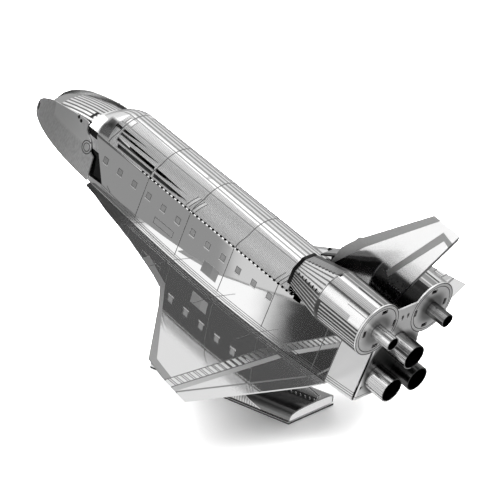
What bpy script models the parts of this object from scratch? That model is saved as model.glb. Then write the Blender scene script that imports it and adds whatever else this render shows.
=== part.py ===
"""Desk model of a spaceplane orbiter, folded from thin polished sheet steel,
nose up on its own bent-sheet stand.

Units are metres, +Z is up. The nose points to -Y and the port side is +X.
The origin is the middle of the underside of the stand's base plate.
The craft is drawn level in its own frame: its origin is on the centreline
at the rear bulkhead, level with the foot of that bulkhead, with Y aft.
"""
import math

import bmesh
import bpy
from mathutils import Vector

MM = 0.001

# Sheet stock and the gap kept between touching sheets
SHEET = 0.25 * MM
GAP = 0.05 * MM

# Placement of the craft on its stand
PITCH = math.radians(19.9)
CRAFT_Y = 28.4 * MM
CRAFT_Z = 8.27 * MM

# Fuselage box: its sides lean in from the foot to the bend line
BODY_HALF_FOOT = 6.00 * MM
BODY_HALF_HEAD = 4.56 * MM
BEND_LINE_Z = 7.13 * MM
BELLY_LOW_Y = -29.7 * MM
BELLY_LOW_Z = -1.39 * MM
BELLY_CURVE = 1.82
BELLY_RAMP_Y = -50.0 * MM
BELLY_RAMP = 0.055
SIDE_FRONT_Y = -58.2 * MM
SIDE_REAR_Y = -0.30 * MM

# Inward fold above the bend line of a side panel
FOLD_FRONT_Y = -59.0 * MM
FOLD_REAR_Y = -39.5 * MM
FOLD_WIDTH_FRONT = 1.40 * MM
FOLD_WIDTH_REAR = 0.30 * MM
FOLD_RISE = 0.40

# Rounded roof over the cargo bay
ROOF_HALF = 4.56 * MM
ROOF_RISE = 4.08 * MM
ROOF_FRONT_Y = -61.0 * MM
ROOF_REAR_Y = -0.40 * MM
ROOF_FULL_Y = -56.3 * MM
ROOF_FRONT_RISE = 1.60 * MM
ROOF_EDGE_DEG = 86.0
ROOF_GAP_FRONT_Y = -58.2 * MM
ROOF_GAP_REAR_Y = -38.7 * MM
ROOF_GAP_DEG = 49.5
ROOF_AFT_DEG = 66.0
ROOF_AFT_Y = -16.8 * MM

# Nose plates
NOSE_FRONT_Y = -75.9 * MM
NOSE_STRAIGHT_Y = -60.0 * MM
NOSE_HALF = 5.60 * MM
NOSE_ROUNDING = 0.93
NOSE_POWER = 2.2
NOSE_FLARE = 0.85 * MM
NOSE_LEAN = 41.0
NOSE_PLATE_REAR_Y = -57.85 * MM
NOSE_SHEET_INSET = 0.55 * MM
NOSE_SHEET_CAMBER = 0.60 * MM
BELLY_INSET = 0.25 * MM
BELLY_NOSE_REAR_Y = -57.5 * MM

# Wings
DIHEDRAL = math.tan(math.radians(5.8))

# Orbital engine pods
POD_X = 5.50 * MM
POD_Z = 12.70 * MM
POD_RADIUS = 4.08 * MM
POD_FRONT_Y = -7.95 * MM
POD_REAR_Y = -0.05 * MM
POD_INNER_DEG = -104.0
POD_OUTER_DEG = 194.0
FAIRING_FRONT_Y = -16.7 * MM
FAIRING_REAR_Y = POD_FRONT_Y - 0.15 * MM

# Rear bulkhead
PLATE_HALF = 5.60 * MM
PLATE_HALF_HEAD = 4.50 * MM
PLATE_FOOT_Z = 0.30 * MM
PLATE_NECK_Z = 8.05 * MM
PLATE_ROUND_FIRST_DEG = 195.4
PLATE_ROUND_LAST_DEG = -59.0

# Rolled nozzles
NOZZLE_FRONT_Y = SHEET + GAP
NOZZLE_SEGMENTS = 32

# Stand
BASE_HALF_X = 4.65 * MM
BASE_HALF_Y = 14.8 * MM
BASE_THICK = 0.30 * MM
ARCH_FRONT_INSET = 0.10 * MM
ARCH_REACH = 1.40 * MM
RIB_X = 0.30 * MM
RIB_REAR_Y = 2.4 * MM
RIB_FRONT_Y = -12.4 * MM
RIB_FRONT_LOW = (-14.4 * MM, 12.0 * MM)

# Side panel outline: y along, z up, both in millimetres
SIDE_UPPER = (
    (-58.2, 0.60),
    (-54.9, 0.78),
    (-59.2, 7.13),
    (-15.9, 7.13),
    (-0.30, 8.13),
)

# Nose side plate outline above its foot: y, z in millimetres
NOSE_UPPER = (
    (-75.5, 1.1),
    (-75.3, 2.1),
    (-74.6, 3.25),
    (-73.4, 4.35),
    (-71.8, 5.3),
    (-70.0, 6.0),
    (-67.6, 6.6),
    (-65.2, 7.1),
    (-62.7, 7.47),
    (-61.7, 7.47),
    (-61.4, 6.22),
    (-60.0, 5.25),
    (-59.2, 3.9),
    (-58.3, 3.52),
    (-57.85, 0.42),
)

# Height of the nose top sheet at its edges: y, z in millimetres
NOSE_CROWN = (
    (-72.0, 4.40),
    (-69.5, 5.63),
    (-67.0, 6.35),
    (-64.4, 6.97),
    (-61.2, 7.53),
)

# Port half of the belly and wing outline: x, y in millimetres
WING_HALF = (
    (6.05, -57.0),
    (6.25, -54.6),
    (7.10, -50.9),
    (8.05, -47.4),
    (9.15, -43.7),
    (10.3, -39.4),
    (11.2, -36.3),
    (12.5, -33.0),
    (15.6, -29.8),
    (26.3, -20.0),
    (27.5, -15.7),
    (28.5, -10.1),
    (9.30, -5.5),
    (5.60, -5.0),
    (5.60, -0.2),
)

# Tail plate outline: y, z in millimetres
TAIL = (
    (-14.6, 11.45),
    (-14.3, 12.55),
    (-13.3, 15.70),
    (-12.2, 17.20),
    (-11.4, 18.25),
    (-11.0, 19.00),
    (-10.5, 19.20),
    (-0.45, 29.65),
    (3.85, 29.70),
    (4.40, 29.40),
    (4.35, 28.70),
    (-3.20, 11.45),
)

# Pod fairing corners at the front end: x, z in millimetres, and their place in
# degrees around the pod at the rear end
FAIRING_CORNERS = (
    (0.40, 12.10, -40.0),
    (1.20, 12.10, 12.0),
    (3.70, 10.60, 64.0),
    (4.90, 8.30, 126.0),
)

# Nozzles: name, x, z, radius, rear end y, all in millimetres
NOZZLES = (
    ("main_nozzle_port", 2.60, 3.44, 1.92, 3.55),
    ("main_nozzle_starboard", -2.60, 3.44, 1.92, 3.55),
    ("main_nozzle_top", 0.0, 8.38, 1.92, 3.65),
    ("pod_nozzle_port", 5.51, 12.52, 1.08, 3.36),
    ("pod_nozzle_starboard", -5.51, 12.52, 1.08, 3.36),
)

# Half section of the stand's arch: x across, z up, in millimetres
ARCH_SECTION = (
    (4.60, 0.36),
    (4.58, 0.85),
    (4.44, 1.42),
    (4.12, 1.88),
    (3.62, 2.22),
    (2.92, 2.44),
    (2.05, 2.56),
    (1.15, 2.64),
    (0.36, 2.70),
)

# Rib outline above the fold: y, z in millimetres
RIB_UPPER = (
    (16.5, 3.45),
    (11.0, 5.50),
    (7.30, 8.56),
    (5.00, 12.5),
)


def clear_scene():
    """Empty the scene before the model is made."""
    for obj in list(bpy.data.objects):
        bpy.data.objects.remove(obj, do_unlink=True)


def material(name, colour, roughness, metallic):
    """Principled material with one colour, roughness and metallic value."""
    mat = bpy.data.materials.new(name)
    mat.use_nodes = True
    shader = mat.node_tree.nodes["Principled BSDF"]
    shader.inputs["Base Color"].default_value = (*colour, 1.0)
    shader.inputs["Roughness"].default_value = roughness
    shader.inputs["Metallic"].default_value = metallic
    return mat


def add_object(name, bm, mat, parent):
    """Make an object from a bmesh, smooth but for its sharp edges."""
    mesh = bpy.data.meshes.new(name)
    bm.to_mesh(mesh)
    bm.free()
    mesh.materials.append(mat)
    mesh.shade_smooth()
    mesh.set_sharp_from_angle(angle=math.radians(30.0))
    obj = bpy.data.objects.new(name, mesh)
    bpy.context.scene.collection.objects.link(obj)
    obj.parent = parent
    return obj


def add_sheet(name, bm, mat, parent, thickness=SHEET):
    """Make a sheet piece from an open surface, thickened behind its faces."""
    obj = add_object(name, bm, mat, parent)
    solid = obj.modifiers.new("Sheet", "SOLIDIFY")
    solid.thickness = thickness
    solid.offset = -1.0
    solid.use_even_offset = True
    return obj


def face_along(bm, direction):
    """Turn an open surface so that its faces look along a direction on average."""
    bm.normal_update()
    total = sum((face.normal * face.calc_area() for face in bm.faces), Vector())
    if total.dot(direction) < 0.0:
        bmesh.ops.reverse_faces(bm, faces=bm.faces)


def face_from_axis(bm, x, z):
    """Turn a rolled surface so that its faces look away from an axis along Y."""
    bm.normal_update()
    outward = 0.0
    for face in bm.faces:
        away = face.calc_center_median() - Vector((x, 0.0, z))
        away.y = 0.0
        outward += face.normal.dot(away)
    if outward < 0.0:
        bmesh.ops.reverse_faces(bm, faces=bm.faces)


def cut_across(bm, axis, places):
    """Cut a bmesh across an axis at each of the given places."""
    for place in places:
        geom = bm.verts[:] + bm.edges[:] + bm.faces[:]
        bmesh.ops.bisect_plane(bm, geom=geom, dist=1e-7, plane_co=axis * place, plane_no=axis)


def outline_surface(points, place, cuts_u=(), cuts_v=()):
    """Flat outline, cut across at the given stations of each axis, then bent by place()."""
    bm = bmesh.new()
    bm.faces.new([bm.verts.new((u, v, 0.0)) for u, v in points])
    cut_across(bm, Vector((1.0, 0.0, 0.0)), cuts_u)
    cut_across(bm, Vector((0.0, 1.0, 0.0)), cuts_v)
    for vert in bm.verts:
        vert.co = place(vert.co.x, vert.co.y)
    return bm


def grid_surface(columns, rows, place):
    """Grid of columns by rows cells whose corners place(u, v) sets, u and v from 0 to 1."""
    bm = bmesh.new()
    bmesh.ops.create_grid(bm, x_segments=columns, y_segments=rows, size=0.5)
    for vert in bm.verts:
        vert.co = place(vert.co.x + 0.5, vert.co.y + 0.5)
    return bm


def stations(first, last, count):
    """Evenly spaced cuts strictly between two ends."""
    return [first + (last - first) * k / count for k in range(1, count)]


def belly_z(y):
    """Height of the upper face of the belly sheet: a shallow curve, then a straight ramp."""
    if y < BELLY_RAMP_Y:
        return belly_z(BELLY_RAMP_Y) + BELLY_RAMP * (BELLY_RAMP_Y - y)
    return BELLY_LOW_Z + BELLY_CURVE * (y - BELLY_LOW_Y) ** 2


def side_x(z):
    """Outer face of a side panel, which leans in towards its bend line."""
    rise = (z - BELLY_LOW_Z) / (BEND_LINE_Z - BELLY_LOW_Z)
    return BODY_HALF_FOOT + (BODY_HALF_HEAD - BODY_HALF_FOOT) * rise


def nose_half(y):
    """Half width of the nose in plan, full at its rear and rounded to the tip."""
    along = (NOSE_STRAIGHT_Y - y) / (NOSE_STRAIGHT_Y - NOSE_FRONT_Y)
    along = min(max(along, 0.0), 1.0)
    return NOSE_HALF * math.sqrt(1.0 - NOSE_ROUNDING * along ** NOSE_POWER)


def roof_point(y, degrees):
    """Point of the roof: degrees from its crown, on an elliptic section that lowers to the nose."""
    rise = ROOF_RISE
    if y < ROOF_FULL_Y:
        along = (ROOF_FULL_Y - y) / (ROOF_FULL_Y - ROOF_FRONT_Y)
        rise += (ROOF_FRONT_RISE - ROOF_RISE) * along ** 1.6
    turn = math.radians(degrees)
    return Vector((ROOF_HALF * math.sin(turn), y, BEND_LINE_Z + rise * math.cos(turn)))


def roof_edge(y):
    """Angle of the roof's lower edge, higher where the long slot opens towards the nose."""
    if y > ROOF_AFT_Y:
        return ROOF_AFT_DEG
    if y < ROOF_GAP_FRONT_Y:
        return ROOF_GAP_DEG
    along = (y - ROOF_GAP_FRONT_Y) / (ROOF_GAP_REAR_Y - ROOF_GAP_FRONT_Y)
    return ROOF_GAP_DEG + (ROOF_EDGE_DEG - ROOF_GAP_DEG) * min(along, 1.0) ** 0.8


def side_panel(name, side, mat, frame):
    """Tall side sheet of the fuselage, its foot following the belly."""
    foot = [SIDE_REAR_Y, *reversed(stations(SIDE_FRONT_Y, SIDE_REAR_Y, 12)), SIDE_FRONT_Y]
    points = [(y, belly_z(y) + GAP) for y in foot]
    points += [(y * MM, z * MM) for y, z in SIDE_UPPER]

    def place(y, z):
        return Vector((side * side_x(z), y, z))

    bm = outline_surface(points, place)
    face_along(bm, Vector((side, 0.0, 0.0)))
    return add_sheet(name, bm, mat, frame)


def side_fold(name, side, mat, frame):
    """Inward fold of a side sheet above its bend line, seen through the long slot."""

    def place(u, v):
        width = FOLD_WIDTH_FRONT + (FOLD_WIDTH_REAR - FOLD_WIDTH_FRONT) * u
        x = BODY_HALF_HEAD - GAP - width * v
        z = BEND_LINE_Z + SHEET + FOLD_RISE * width * v
        return Vector((side * x, FOLD_FRONT_Y + (FOLD_REAR_Y - FOLD_FRONT_Y) * u, z))

    bm = grid_surface(4, 1, place)
    face_along(bm, Vector((0.0, 0.0, 1.0)))
    return add_sheet(name, bm, mat, frame, SHEET * 0.6)


def nose_side(name, side, mat, frame):
    """Etched side plate of the nose, rolled inwards to the tip in plan."""
    front = NOSE_UPPER[0][0] * MM
    foot = [NOSE_PLATE_REAR_Y, *reversed(stations(front, NOSE_PLATE_REAR_Y, 10)), front]
    points = [(y, belly_z(y) + GAP) for y in foot]
    points += [(y * MM, z * MM) for y, z in NOSE_UPPER]
    length = NOSE_STRAIGHT_Y - NOSE_FRONT_Y
    cuts = [NOSE_FRONT_Y + length * (k / 18.0) ** 1.5 for k in range(1, 18)]

    def place(y, z):
        flare = NOSE_FLARE * (1.0 - (y / NOSE_FRONT_Y) ** 3)
        return Vector((side * (nose_half(y) + flare) * (1.0 - NOSE_LEAN * z), y, z))

    bm = outline_surface(points, place, cuts_u=cuts)
    face_along(bm, Vector((side, 0.0, 0.0)))
    return add_sheet(name, bm, mat, frame)


def nose_top(mat, frame):
    """Striped top sheet of the nose, lying between the two side plates."""
    front = NOSE_CROWN[0][0] * MM
    rear = NOSE_CROWN[-1][0] * MM

    def height(y):
        for (y0, z0), (y1, z1) in zip(NOSE_CROWN, NOSE_CROWN[1:]):
            if y <= y1 * MM + 1e-9:
                return (z0 + (z1 - z0) * (y / MM - y0) / (y1 - y0)) * MM
        return NOSE_CROWN[-1][1] * MM

    def place(u, v):
        y = front + (rear - front) * u
        z = height(y)
        half = nose_half(y) * (1.0 - NOSE_LEAN * z) - NOSE_SHEET_INSET
        across = 2.0 * v - 1.0
        return Vector((half * across, y, z + NOSE_SHEET_CAMBER * (1.0 - across ** 2)))

    bm = grid_surface(9, 10, place)
    face_along(bm, Vector((0.0, 0.0, 1.0)))
    return add_sheet("nose_top", bm, mat, frame)


def belly_and_wings(mat, frame):
    """One sheet: nose underside, belly and both wings, folded up at the body sides."""
    half = [(nose_half(NOSE_FRONT_Y) - BELLY_INSET, NOSE_FRONT_Y + BELLY_INSET)]
    half += [(nose_half(y) - BELLY_INSET, y) for y in stations(NOSE_FRONT_Y, BELLY_NOSE_REAR_Y, 8)]
    half += [(x * MM, y * MM) for x, y in WING_HALF]
    points = half + [(-x, y) for x, y in reversed(half)]

    def place(x, y):
        lift = DIHEDRAL * max(0.0, abs(x) - BODY_HALF_FOOT)
        return Vector((x, y, belly_z(y) + lift))

    folds = (-BODY_HALF_FOOT, BODY_HALF_FOOT)
    bm = outline_surface(points, place, folds, stations(NOSE_FRONT_Y, 0.0, 19))
    face_along(bm, Vector((0.0, 0.0, 1.0)))
    return add_sheet("belly_and_wings", bm, mat, frame)


def roof(mat, frame):
    """Rounded roof sheet of the cargo bay."""

    def place(u, v):
        y = ROOF_FRONT_Y + (ROOF_REAR_Y - ROOF_FRONT_Y) * u
        return roof_point(y, roof_edge(y) * (2.0 * v - 1.0))

    bm = grid_surface(40, 30, place)
    face_along(bm, Vector((0.0, 0.0, 1.0)))
    return add_sheet("bay_roof", bm, mat, frame)


def tail_plate(mat, frame):
    """Upright tail plate on the centreline."""

    def place(y, z):
        return Vector((SHEET / 2.0, y, z))

    bm = outline_surface([(y * MM, z * MM) for y, z in TAIL], place)
    face_along(bm, Vector((1.0, 0.0, 0.0)))
    return add_sheet("tail_plate", bm, mat, frame)


def pod_point(side, y, degrees):
    """Point of a pod's cylinder, degrees from its crown towards the outboard side."""
    turn = math.radians(degrees)
    x = POD_X + POD_RADIUS * math.sin(turn)
    return Vector((side * x, y, POD_Z + POD_RADIUS * math.cos(turn)))


def pod_shell(name, side, mat, frame):
    """Rolled sheet of an orbital engine pod, open towards the fuselage."""

    def place(u, v):
        y = POD_FRONT_Y + (POD_REAR_Y - POD_FRONT_Y) * u
        return pod_point(side, y, POD_INNER_DEG + (POD_OUTER_DEG - POD_INNER_DEG) * v)

    bm = grid_surface(3, 36, place)
    face_from_axis(bm, side * POD_X, POD_Z)
    return add_sheet(name, bm, mat, frame)


def pod_fairing(name, side, mat, frame):
    """Folded front fairing of a pod: three flat facets between two rows of bend holes."""
    last = len(FAIRING_CORNERS) - 1

    def place(u, v):
        x, z, degrees = FAIRING_CORNERS[round(v * last)]
        ahead = Vector((side * x * MM, FAIRING_FRONT_Y, z * MM))
        return ahead.lerp(pod_point(side, FAIRING_REAR_Y, degrees), u)

    bm = grid_surface(2, last, place)
    face_along(bm, Vector((side, 0.0, 1.0)))
    return add_sheet(name, bm, mat, frame)


def rear_plate(mat, frame):
    """Rear bulkhead with its two round pod ends, cut from one sheet."""
    half = [(PLATE_HALF, PLATE_FOOT_Z), (PLATE_HALF_HEAD, PLATE_NECK_Z)]
    steps = 26
    for k in range(steps + 1):
        degrees = PLATE_ROUND_FIRST_DEG + (PLATE_ROUND_LAST_DEG - PLATE_ROUND_FIRST_DEG) * k / steps
        point = pod_point(1.0, 0.0, degrees)
        half.append((point.x, point.z))
    points = half + [(-x, z) for x, z in reversed(half)]

    def place(x, z):
        return Vector((x, SHEET, z))

    bm = outline_surface(points, place)
    face_along(bm, Vector((0.0, 1.0, 0.0)))
    return add_sheet("rear_plate", bm, mat, frame)


def nozzle(name, x, z, radius, rear_y, mat, frame):
    """Open tube rolled from sheet, standing out from the rear plate."""
    bm = bmesh.new()
    bmesh.ops.create_cone(
        bm,
        cap_ends=False,
        segments=NOZZLE_SEGMENTS,
        radius1=radius,
        radius2=radius,
        depth=rear_y - NOZZLE_FRONT_Y,
    )
    middle = (rear_y + NOZZLE_FRONT_Y) / 2.0
    for vert in bm.verts:
        vert.co = Vector((x + vert.co.x, middle + vert.co.z, z + vert.co.y))
    face_from_axis(bm, x, z)
    return add_sheet(name, bm, mat, frame)


def stand_base(mat, root):
    """Flat base plate of the stand, its underside on the floor."""
    bm = bmesh.new()
    bmesh.ops.create_cube(bm, size=1.0)
    for vert in bm.verts:
        vert.co.x *= 2.0 * BASE_HALF_X
        vert.co.y *= 2.0 * BASE_HALF_Y
        vert.co.z = (vert.co.z + 0.5) * BASE_THICK
    return add_object("stand_base", bm, mat, root)


def belly_under(y_world):
    """World height of the belly's underside on the centreline at a world station."""
    y = (y_world - CRAFT_Y) / math.cos(PITCH)
    for _ in range(4):
        z = belly_z(y) - SHEET
        y = (y_world - CRAFT_Y - z * math.sin(PITCH)) / math.cos(PITCH)
    z = belly_z(y) - SHEET
    return CRAFT_Z - y * math.sin(PITCH) + z * math.cos(PITCH)


def stand_side(name, side, mat, root):
    """Half of the stand: one sheet from the base edge over the arch, folded up into a rib."""
    bm = bmesh.new()
    count = 12
    front = -BASE_HALF_Y + ARCH_FRONT_INSET
    crest = ARCH_SECTION[-1][1]
    rows = []
    for x, z in ARCH_SECTION:
        rear = BASE_HALF_Y - ARCH_FRONT_INSET + ARCH_REACH * (z / crest) ** 2
        along = [front + (rear - front) * k / count for k in range(count + 1)]
        rows.append([bm.verts.new((side * x * MM, y, z * MM)) for y in along])
    for low, high in zip(rows, rows[1:]):
        for k in range(count):
            bm.faces.new((low[k], low[k + 1], high[k + 1], high[k]))
    top = [(y * MM, z * MM) for y, z in RIB_UPPER]
    saddle = [RIB_REAR_Y, *stations(RIB_REAR_Y, RIB_FRONT_Y, 8), RIB_FRONT_Y]
    top += [(y, belly_under(y) - 2.0 * GAP) for y in saddle]
    top.append(RIB_FRONT_LOW)
    bm.faces.new(rows[-1] + [bm.verts.new((side * RIB_X, y, z)) for y, z in top])
    bm.normal_update()
    outward = Vector((side, 0.0, 0.6))
    for face in bm.faces:
        if face.normal.dot(outward) < 0.0:
            face.normal_flip()
    return add_sheet(name, bm, mat, root)


def build():
    """Make every piece of the model."""
    clear_scene()
    root = bpy.data.objects.new("model_root", None)
    bpy.context.scene.collection.objects.link(root)
    frame = bpy.data.objects.new("craft_frame", None)
    bpy.context.scene.collection.objects.link(frame)
    frame.parent = root
    frame.location = (0.0, CRAFT_Y, CRAFT_Z)
    frame.rotation_euler = (-PITCH, 0.0, 0.0)

    polished = material("polished_steel", (0.78, 0.79, 0.80), 0.08, 1.0)
    lined = material("lined_steel", (0.66, 0.67, 0.68), 0.22, 1.0)
    etched = material("etched_steel", (0.30, 0.30, 0.30), 0.45, 1.0)
    nozzle_steel = material("nozzle_steel", (0.55, 0.56, 0.57), 0.20, 1.0)

    for word, side in (("port", 1.0), ("starboard", -1.0)):
        side_panel("side_panel_" + word, side, polished, frame)
        side_fold("side_fold_" + word, side, polished, frame)
        nose_side("nose_side_" + word, side, etched, frame)
        pod_shell("pod_shell_" + word, side, lined, frame)
        pod_fairing("pod_fairing_" + word, side, lined, frame)
        stand_side("stand_side_" + word, side, polished, root)
    for name, x, z, radius, rear_y in NOZZLES:
        nozzle(name, x * MM, z * MM, radius * MM, rear_y * MM, nozzle_steel, frame)
    nose_top(lined, frame)
    belly_and_wings(polished, frame)
    roof(lined, frame)
    tail_plate(etched, frame)
    rear_plate(etched, frame)
    stand_base(polished, root)
    bpy.context.view_layer.update()


build()
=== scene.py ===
"""Dressed desk model of a spaceplane folded from thin polished sheet steel.

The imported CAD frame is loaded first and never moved. The craft is drawn
level in its own frame, in millimetres: X to port, Y aft, Z up, with the
origin on the centreline at the foot of the rear bulkhead. One matrix then
puts all of its pieces on the stand.
"""
import math

import bmesh
import bpy
from mathutils import Matrix, Vector


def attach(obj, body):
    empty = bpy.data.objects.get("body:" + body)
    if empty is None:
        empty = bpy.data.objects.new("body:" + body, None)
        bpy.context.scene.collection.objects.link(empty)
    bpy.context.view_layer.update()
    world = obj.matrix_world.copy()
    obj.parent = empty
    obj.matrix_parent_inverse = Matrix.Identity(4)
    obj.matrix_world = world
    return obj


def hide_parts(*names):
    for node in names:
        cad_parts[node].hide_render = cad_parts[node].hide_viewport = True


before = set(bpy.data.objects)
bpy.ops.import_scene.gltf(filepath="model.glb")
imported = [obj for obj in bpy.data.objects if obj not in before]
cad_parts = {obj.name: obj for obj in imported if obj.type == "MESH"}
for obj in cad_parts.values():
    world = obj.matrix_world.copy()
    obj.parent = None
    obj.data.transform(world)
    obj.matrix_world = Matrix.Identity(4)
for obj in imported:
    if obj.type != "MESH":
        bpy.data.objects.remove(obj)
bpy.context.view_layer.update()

bl_info = {
    "name": "Folded Steel Spaceplane",
    "version": (1, 0, 0),
    "blender": (4, 5, 0),
    "location": "View3D > Sidebar > Steel Craft",
    "description": "Dresses the sheet-steel spaceplane model and lights it on a pale floor",
    "category": "Object",
}

MM = 0.001
PITCH = math.radians(19.9)
CRAFT_PLACE = Vector((0.0, 28.4 * MM, 8.27 * MM))
CRAFT = Matrix.Translation(CRAFT_PLACE) @ Matrix.Rotation(-PITCH, 4, "X") @ Matrix.Scale(MM, 4)
STAND = Matrix.Scale(MM, 4)
SIDES = (("port", 1.0), ("starboard", -1.0))
UP = (0.0, 0.0, 1.0)

# Thickness of the solids' sheets, then of those that aren't the common sheet, and the joint gap
SOLID_SHEET = 0.25
THIN_SHEET = 0.15
PLATE_SHEET = 0.25
COLLAR_SHEET = 0.50
NOZZLE_SHEET = 0.14
JOINT_GAP = 0.05

# Fuselage, in craft millimetres
BEND_LINE_Z = 7.13
BODY_HALF_FOOT = 6.00
BODY_HALF_HEAD = 4.56
BELLY_LOW_Y = -29.7
BELLY_LOW_Z = -1.39
BELLY_CURVE = 0.00182
BELLY_RAMP_Y = -50.0
BELLY_RAMP = 0.055
SIDE_LEAN = math.atan2(BODY_HALF_FOOT - BODY_HALF_HEAD, BEND_LINE_Z - BELLY_LOW_Z)

# Side panels: the bend holes, the etched joints, and the rows up the face and round the bend
HOLE_FIRST_Y = -48.45
HOLE_STEP = 0.8734
HOLE_ROWS = (1.06, 1.92)
BEND_RADIUS = 0.40
BEND_ROWS = (1.06, 1.2, 1.35, 1.5, 1.65, 1.8, 1.92, 2.0)
PANEL_FRONT_Y = -58.2
PANEL_SQUARE_Y = -49.2
PANEL_STEP_Y = -15.65
PANEL_AFT_Y = -13.5
PANEL_REAR_Y = -0.30
PANEL_JOINTS_Y = (-46.9, -37.52, -28.04, -18.65)
PANEL_FRONT_EDGE = ((0.60, PANEL_FRONT_Y), (0.78, -54.9), (BEND_LINE_Z, -59.2))
PANEL_HEAD = ((-15.95, 6.85), (PANEL_STEP_Y, 7.15), (PANEL_REAR_Y, 8.13))
PANEL_NOTCH_Y = (-15.5, -14.1)
PANEL_NOTCH_ROW = 0.94
PANEL_ROWS = (0.0, 0.106, 0.132, 0.3, 0.5, 0.7, 0.88, PANEL_NOTCH_ROW, 0.97, 1.0)

# Roof: runs of stations as (first, last, count), and the steps across each lane
ROOF_RISE = 4.08
ROOF_FRONT_RISE = 1.60
ROOF_FRONT_POWER = 1.6
ROOF_FRONT_Y = -61.0
ROOF_FULL_Y = -56.3
ROOF_AFT_Y = -16.8
ROOF_REAR_Y = -0.40
ROOF_LIP = 1.2
ROOF_LIP_STEP = 0.1
ROOF_EDGE = ((ROOF_FRONT_Y, 84.0), (-58.0, 88.0))
ROOF_RUNS = (
    (ROOF_FRONT_Y, ROOF_FULL_Y, 10),
    (-55.9, ROOF_AFT_Y, 46),
    (-15.8, ROOF_REAR_Y, 10),
)
ROOF_LANE_STEPS = (16, 3, 3, 3, 3, 3, 2, 3, 2)

# Roof slots that taper aft, as their upper and lower edges in (y, degrees from the crown)
ROOF_SLOTS = (
    (
        ((-56.8, 43.0), (-50.0, 44.6)),
        ((-56.8, 50.0), (-54.5, 49.3), (-50.0, 44.6)),
    ),
    (
        ((-55.3, 52.4), (-45.0, 54.0)),
        ((-55.3, 58.0), (-52.0, 57.4), (-48.0, 55.6), (-45.0, 54.0)),
    ),
    (
        ((-55.3, 64.4), (-44.0, 64.6), (-39.4, 66.4)),
        ((-55.3, 71.4), (-45.0, 71.4), (-42.0, 69.0), (-39.4, 66.4)),
    ),
    (
        ((-54.6, 75.4), (-44.0, 75.8), (-38.9, 77.4)),
        ((-54.6, 83.8), (-42.6, 84.0), (-40.5, 81.4), (-38.9, 77.4)),
    ),
)
ROOF_BARS_Y = (-55.4, -46.5)
ROOF_BAR_WIDTH = 0.34
SLOT_CLOSED = 0.5
AFT_LANE = 5

# Inward folds of the side sheets: width along them as (y, width), and their outer edge
FOLD_WIDTHS = ((-59.0, 1.40), (-39.5, 0.30))
FOLD_X = 4.26
FOLD_Z = 7.40
FOLD_RISE = 0.40

# Nose in plan, its flare and lean, and the outline of its plates above the foot in (y, z)
NOSE_FRONT_Y = -75.9
NOSE_STRAIGHT_Y = -60.0
NOSE_HALF = 5.60
NOSE_TAPER = 0.93
NOSE_TAPER_POWER = 2.2
NOSE_FLARE = 0.85
NOSE_LEAN = 0.041
NOSE_CUTS = 42
NOSE_PLATE_REAR_Y = -57.85
NOSE_UPPER = (
    (-75.5, 1.1),
    (-75.3, 2.1),
    (-74.6, 3.25),
    (-73.4, 4.35),
    (-71.8, 5.3),
    (-70.0, 6.0),
    (-67.6, 6.6),
    (-65.2, 7.1),
    (-62.7, 7.47),
    (-61.7, 7.47),
    (-61.4, 6.22),
    (-60.0, 5.25),
    (-59.2, 3.9),
    (-58.3, 3.52),
    (NOSE_PLATE_REAR_Y, 0.42),
)

# Nose top sheet, the height of its edges in (y, z), and the inner tabs behind the plates
NOSE_CROWN = ((-72.0, 4.40), (-69.5, 5.63), (-67.0, 6.35), (-64.4, 6.97), (-61.2, 7.53))
NOSE_SHEET_INSET = 0.55
NOSE_SHEET_CAMBER = 0.60
TAB_Y = (-60.8, -53.0)
TAB_INSET = 0.50
TAB_FOOT_GAP = 0.30
TAB_HEAD_GAP = 0.15

# Port half of the belly and wing outline, in (x, y), behind the nose
DIHEDRAL = math.tan(math.radians(5.8))
BELLY_RIM = 0.25
BELLY_NOSE_REAR_Y = -57.5
BELLY_CUTS_Y = (-75.0, -0.5)
WING_HALF = (
    (6.70, -57.0),
    (7.00, -54.6),
    (7.90, -50.9),
    (8.40, -47.4),
    (9.15, -43.7),
    (10.3, -39.4),
    (11.2, -36.3),
    (12.5, -33.0),
    (15.6, -29.8),
    (26.3, -20.0),
    (27.5, -15.7),
    (28.5, -10.1),
    (9.30, -5.5),
    (5.60, -5.0),
    (5.60, -0.2),
)

# Tail plate outline, in (y, z)
TAIL = (
    (-14.6, 11.45),
    (-14.3, 12.55),
    (-13.3, 15.70),
    (-12.2, 17.20),
    (-11.4, 18.25),
    (-11.0, 19.00),
    (-10.5, 19.20),
    (-0.45, 29.65),
    (3.85, 29.70),
    (4.40, 29.40),
    (4.35, 28.70),
    (-3.20, 11.45),
)

# Pods and their fairings
POD_X = 5.50
POD_Z = 12.70
POD_RADIUS = 4.08
POD_FRONT_Y = -7.95
POD_REAR_Y = -0.05
POD_DEGREES = (-104.0, 194.0)
FAIRING_FRONT_Y = -16.7
FAIRING_REAR_Y = -8.10
COLLAR_GAP = 0.04
COLLAR_LENGTH = 0.60

# Fairing corners: x and z at the front end, and degrees around the pod at the rear end
FAIRING_CORNERS = (
    (0.30, 12.05, -40.0),
    (2.70, 12.05, 12.0),
    (4.20, 10.65, 64.0),
    (4.60, 8.30, 126.0),
)

# Fairing holes as (corner, count), their run along it, and half a hole along and across it
FAIRING_HOLES = ((1, 8), (2, 6))
FAIRING_HOLE_RUN = (0.08, 0.94)
FAIRING_HOLE_HALF = (0.025, 0.07)

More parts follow.
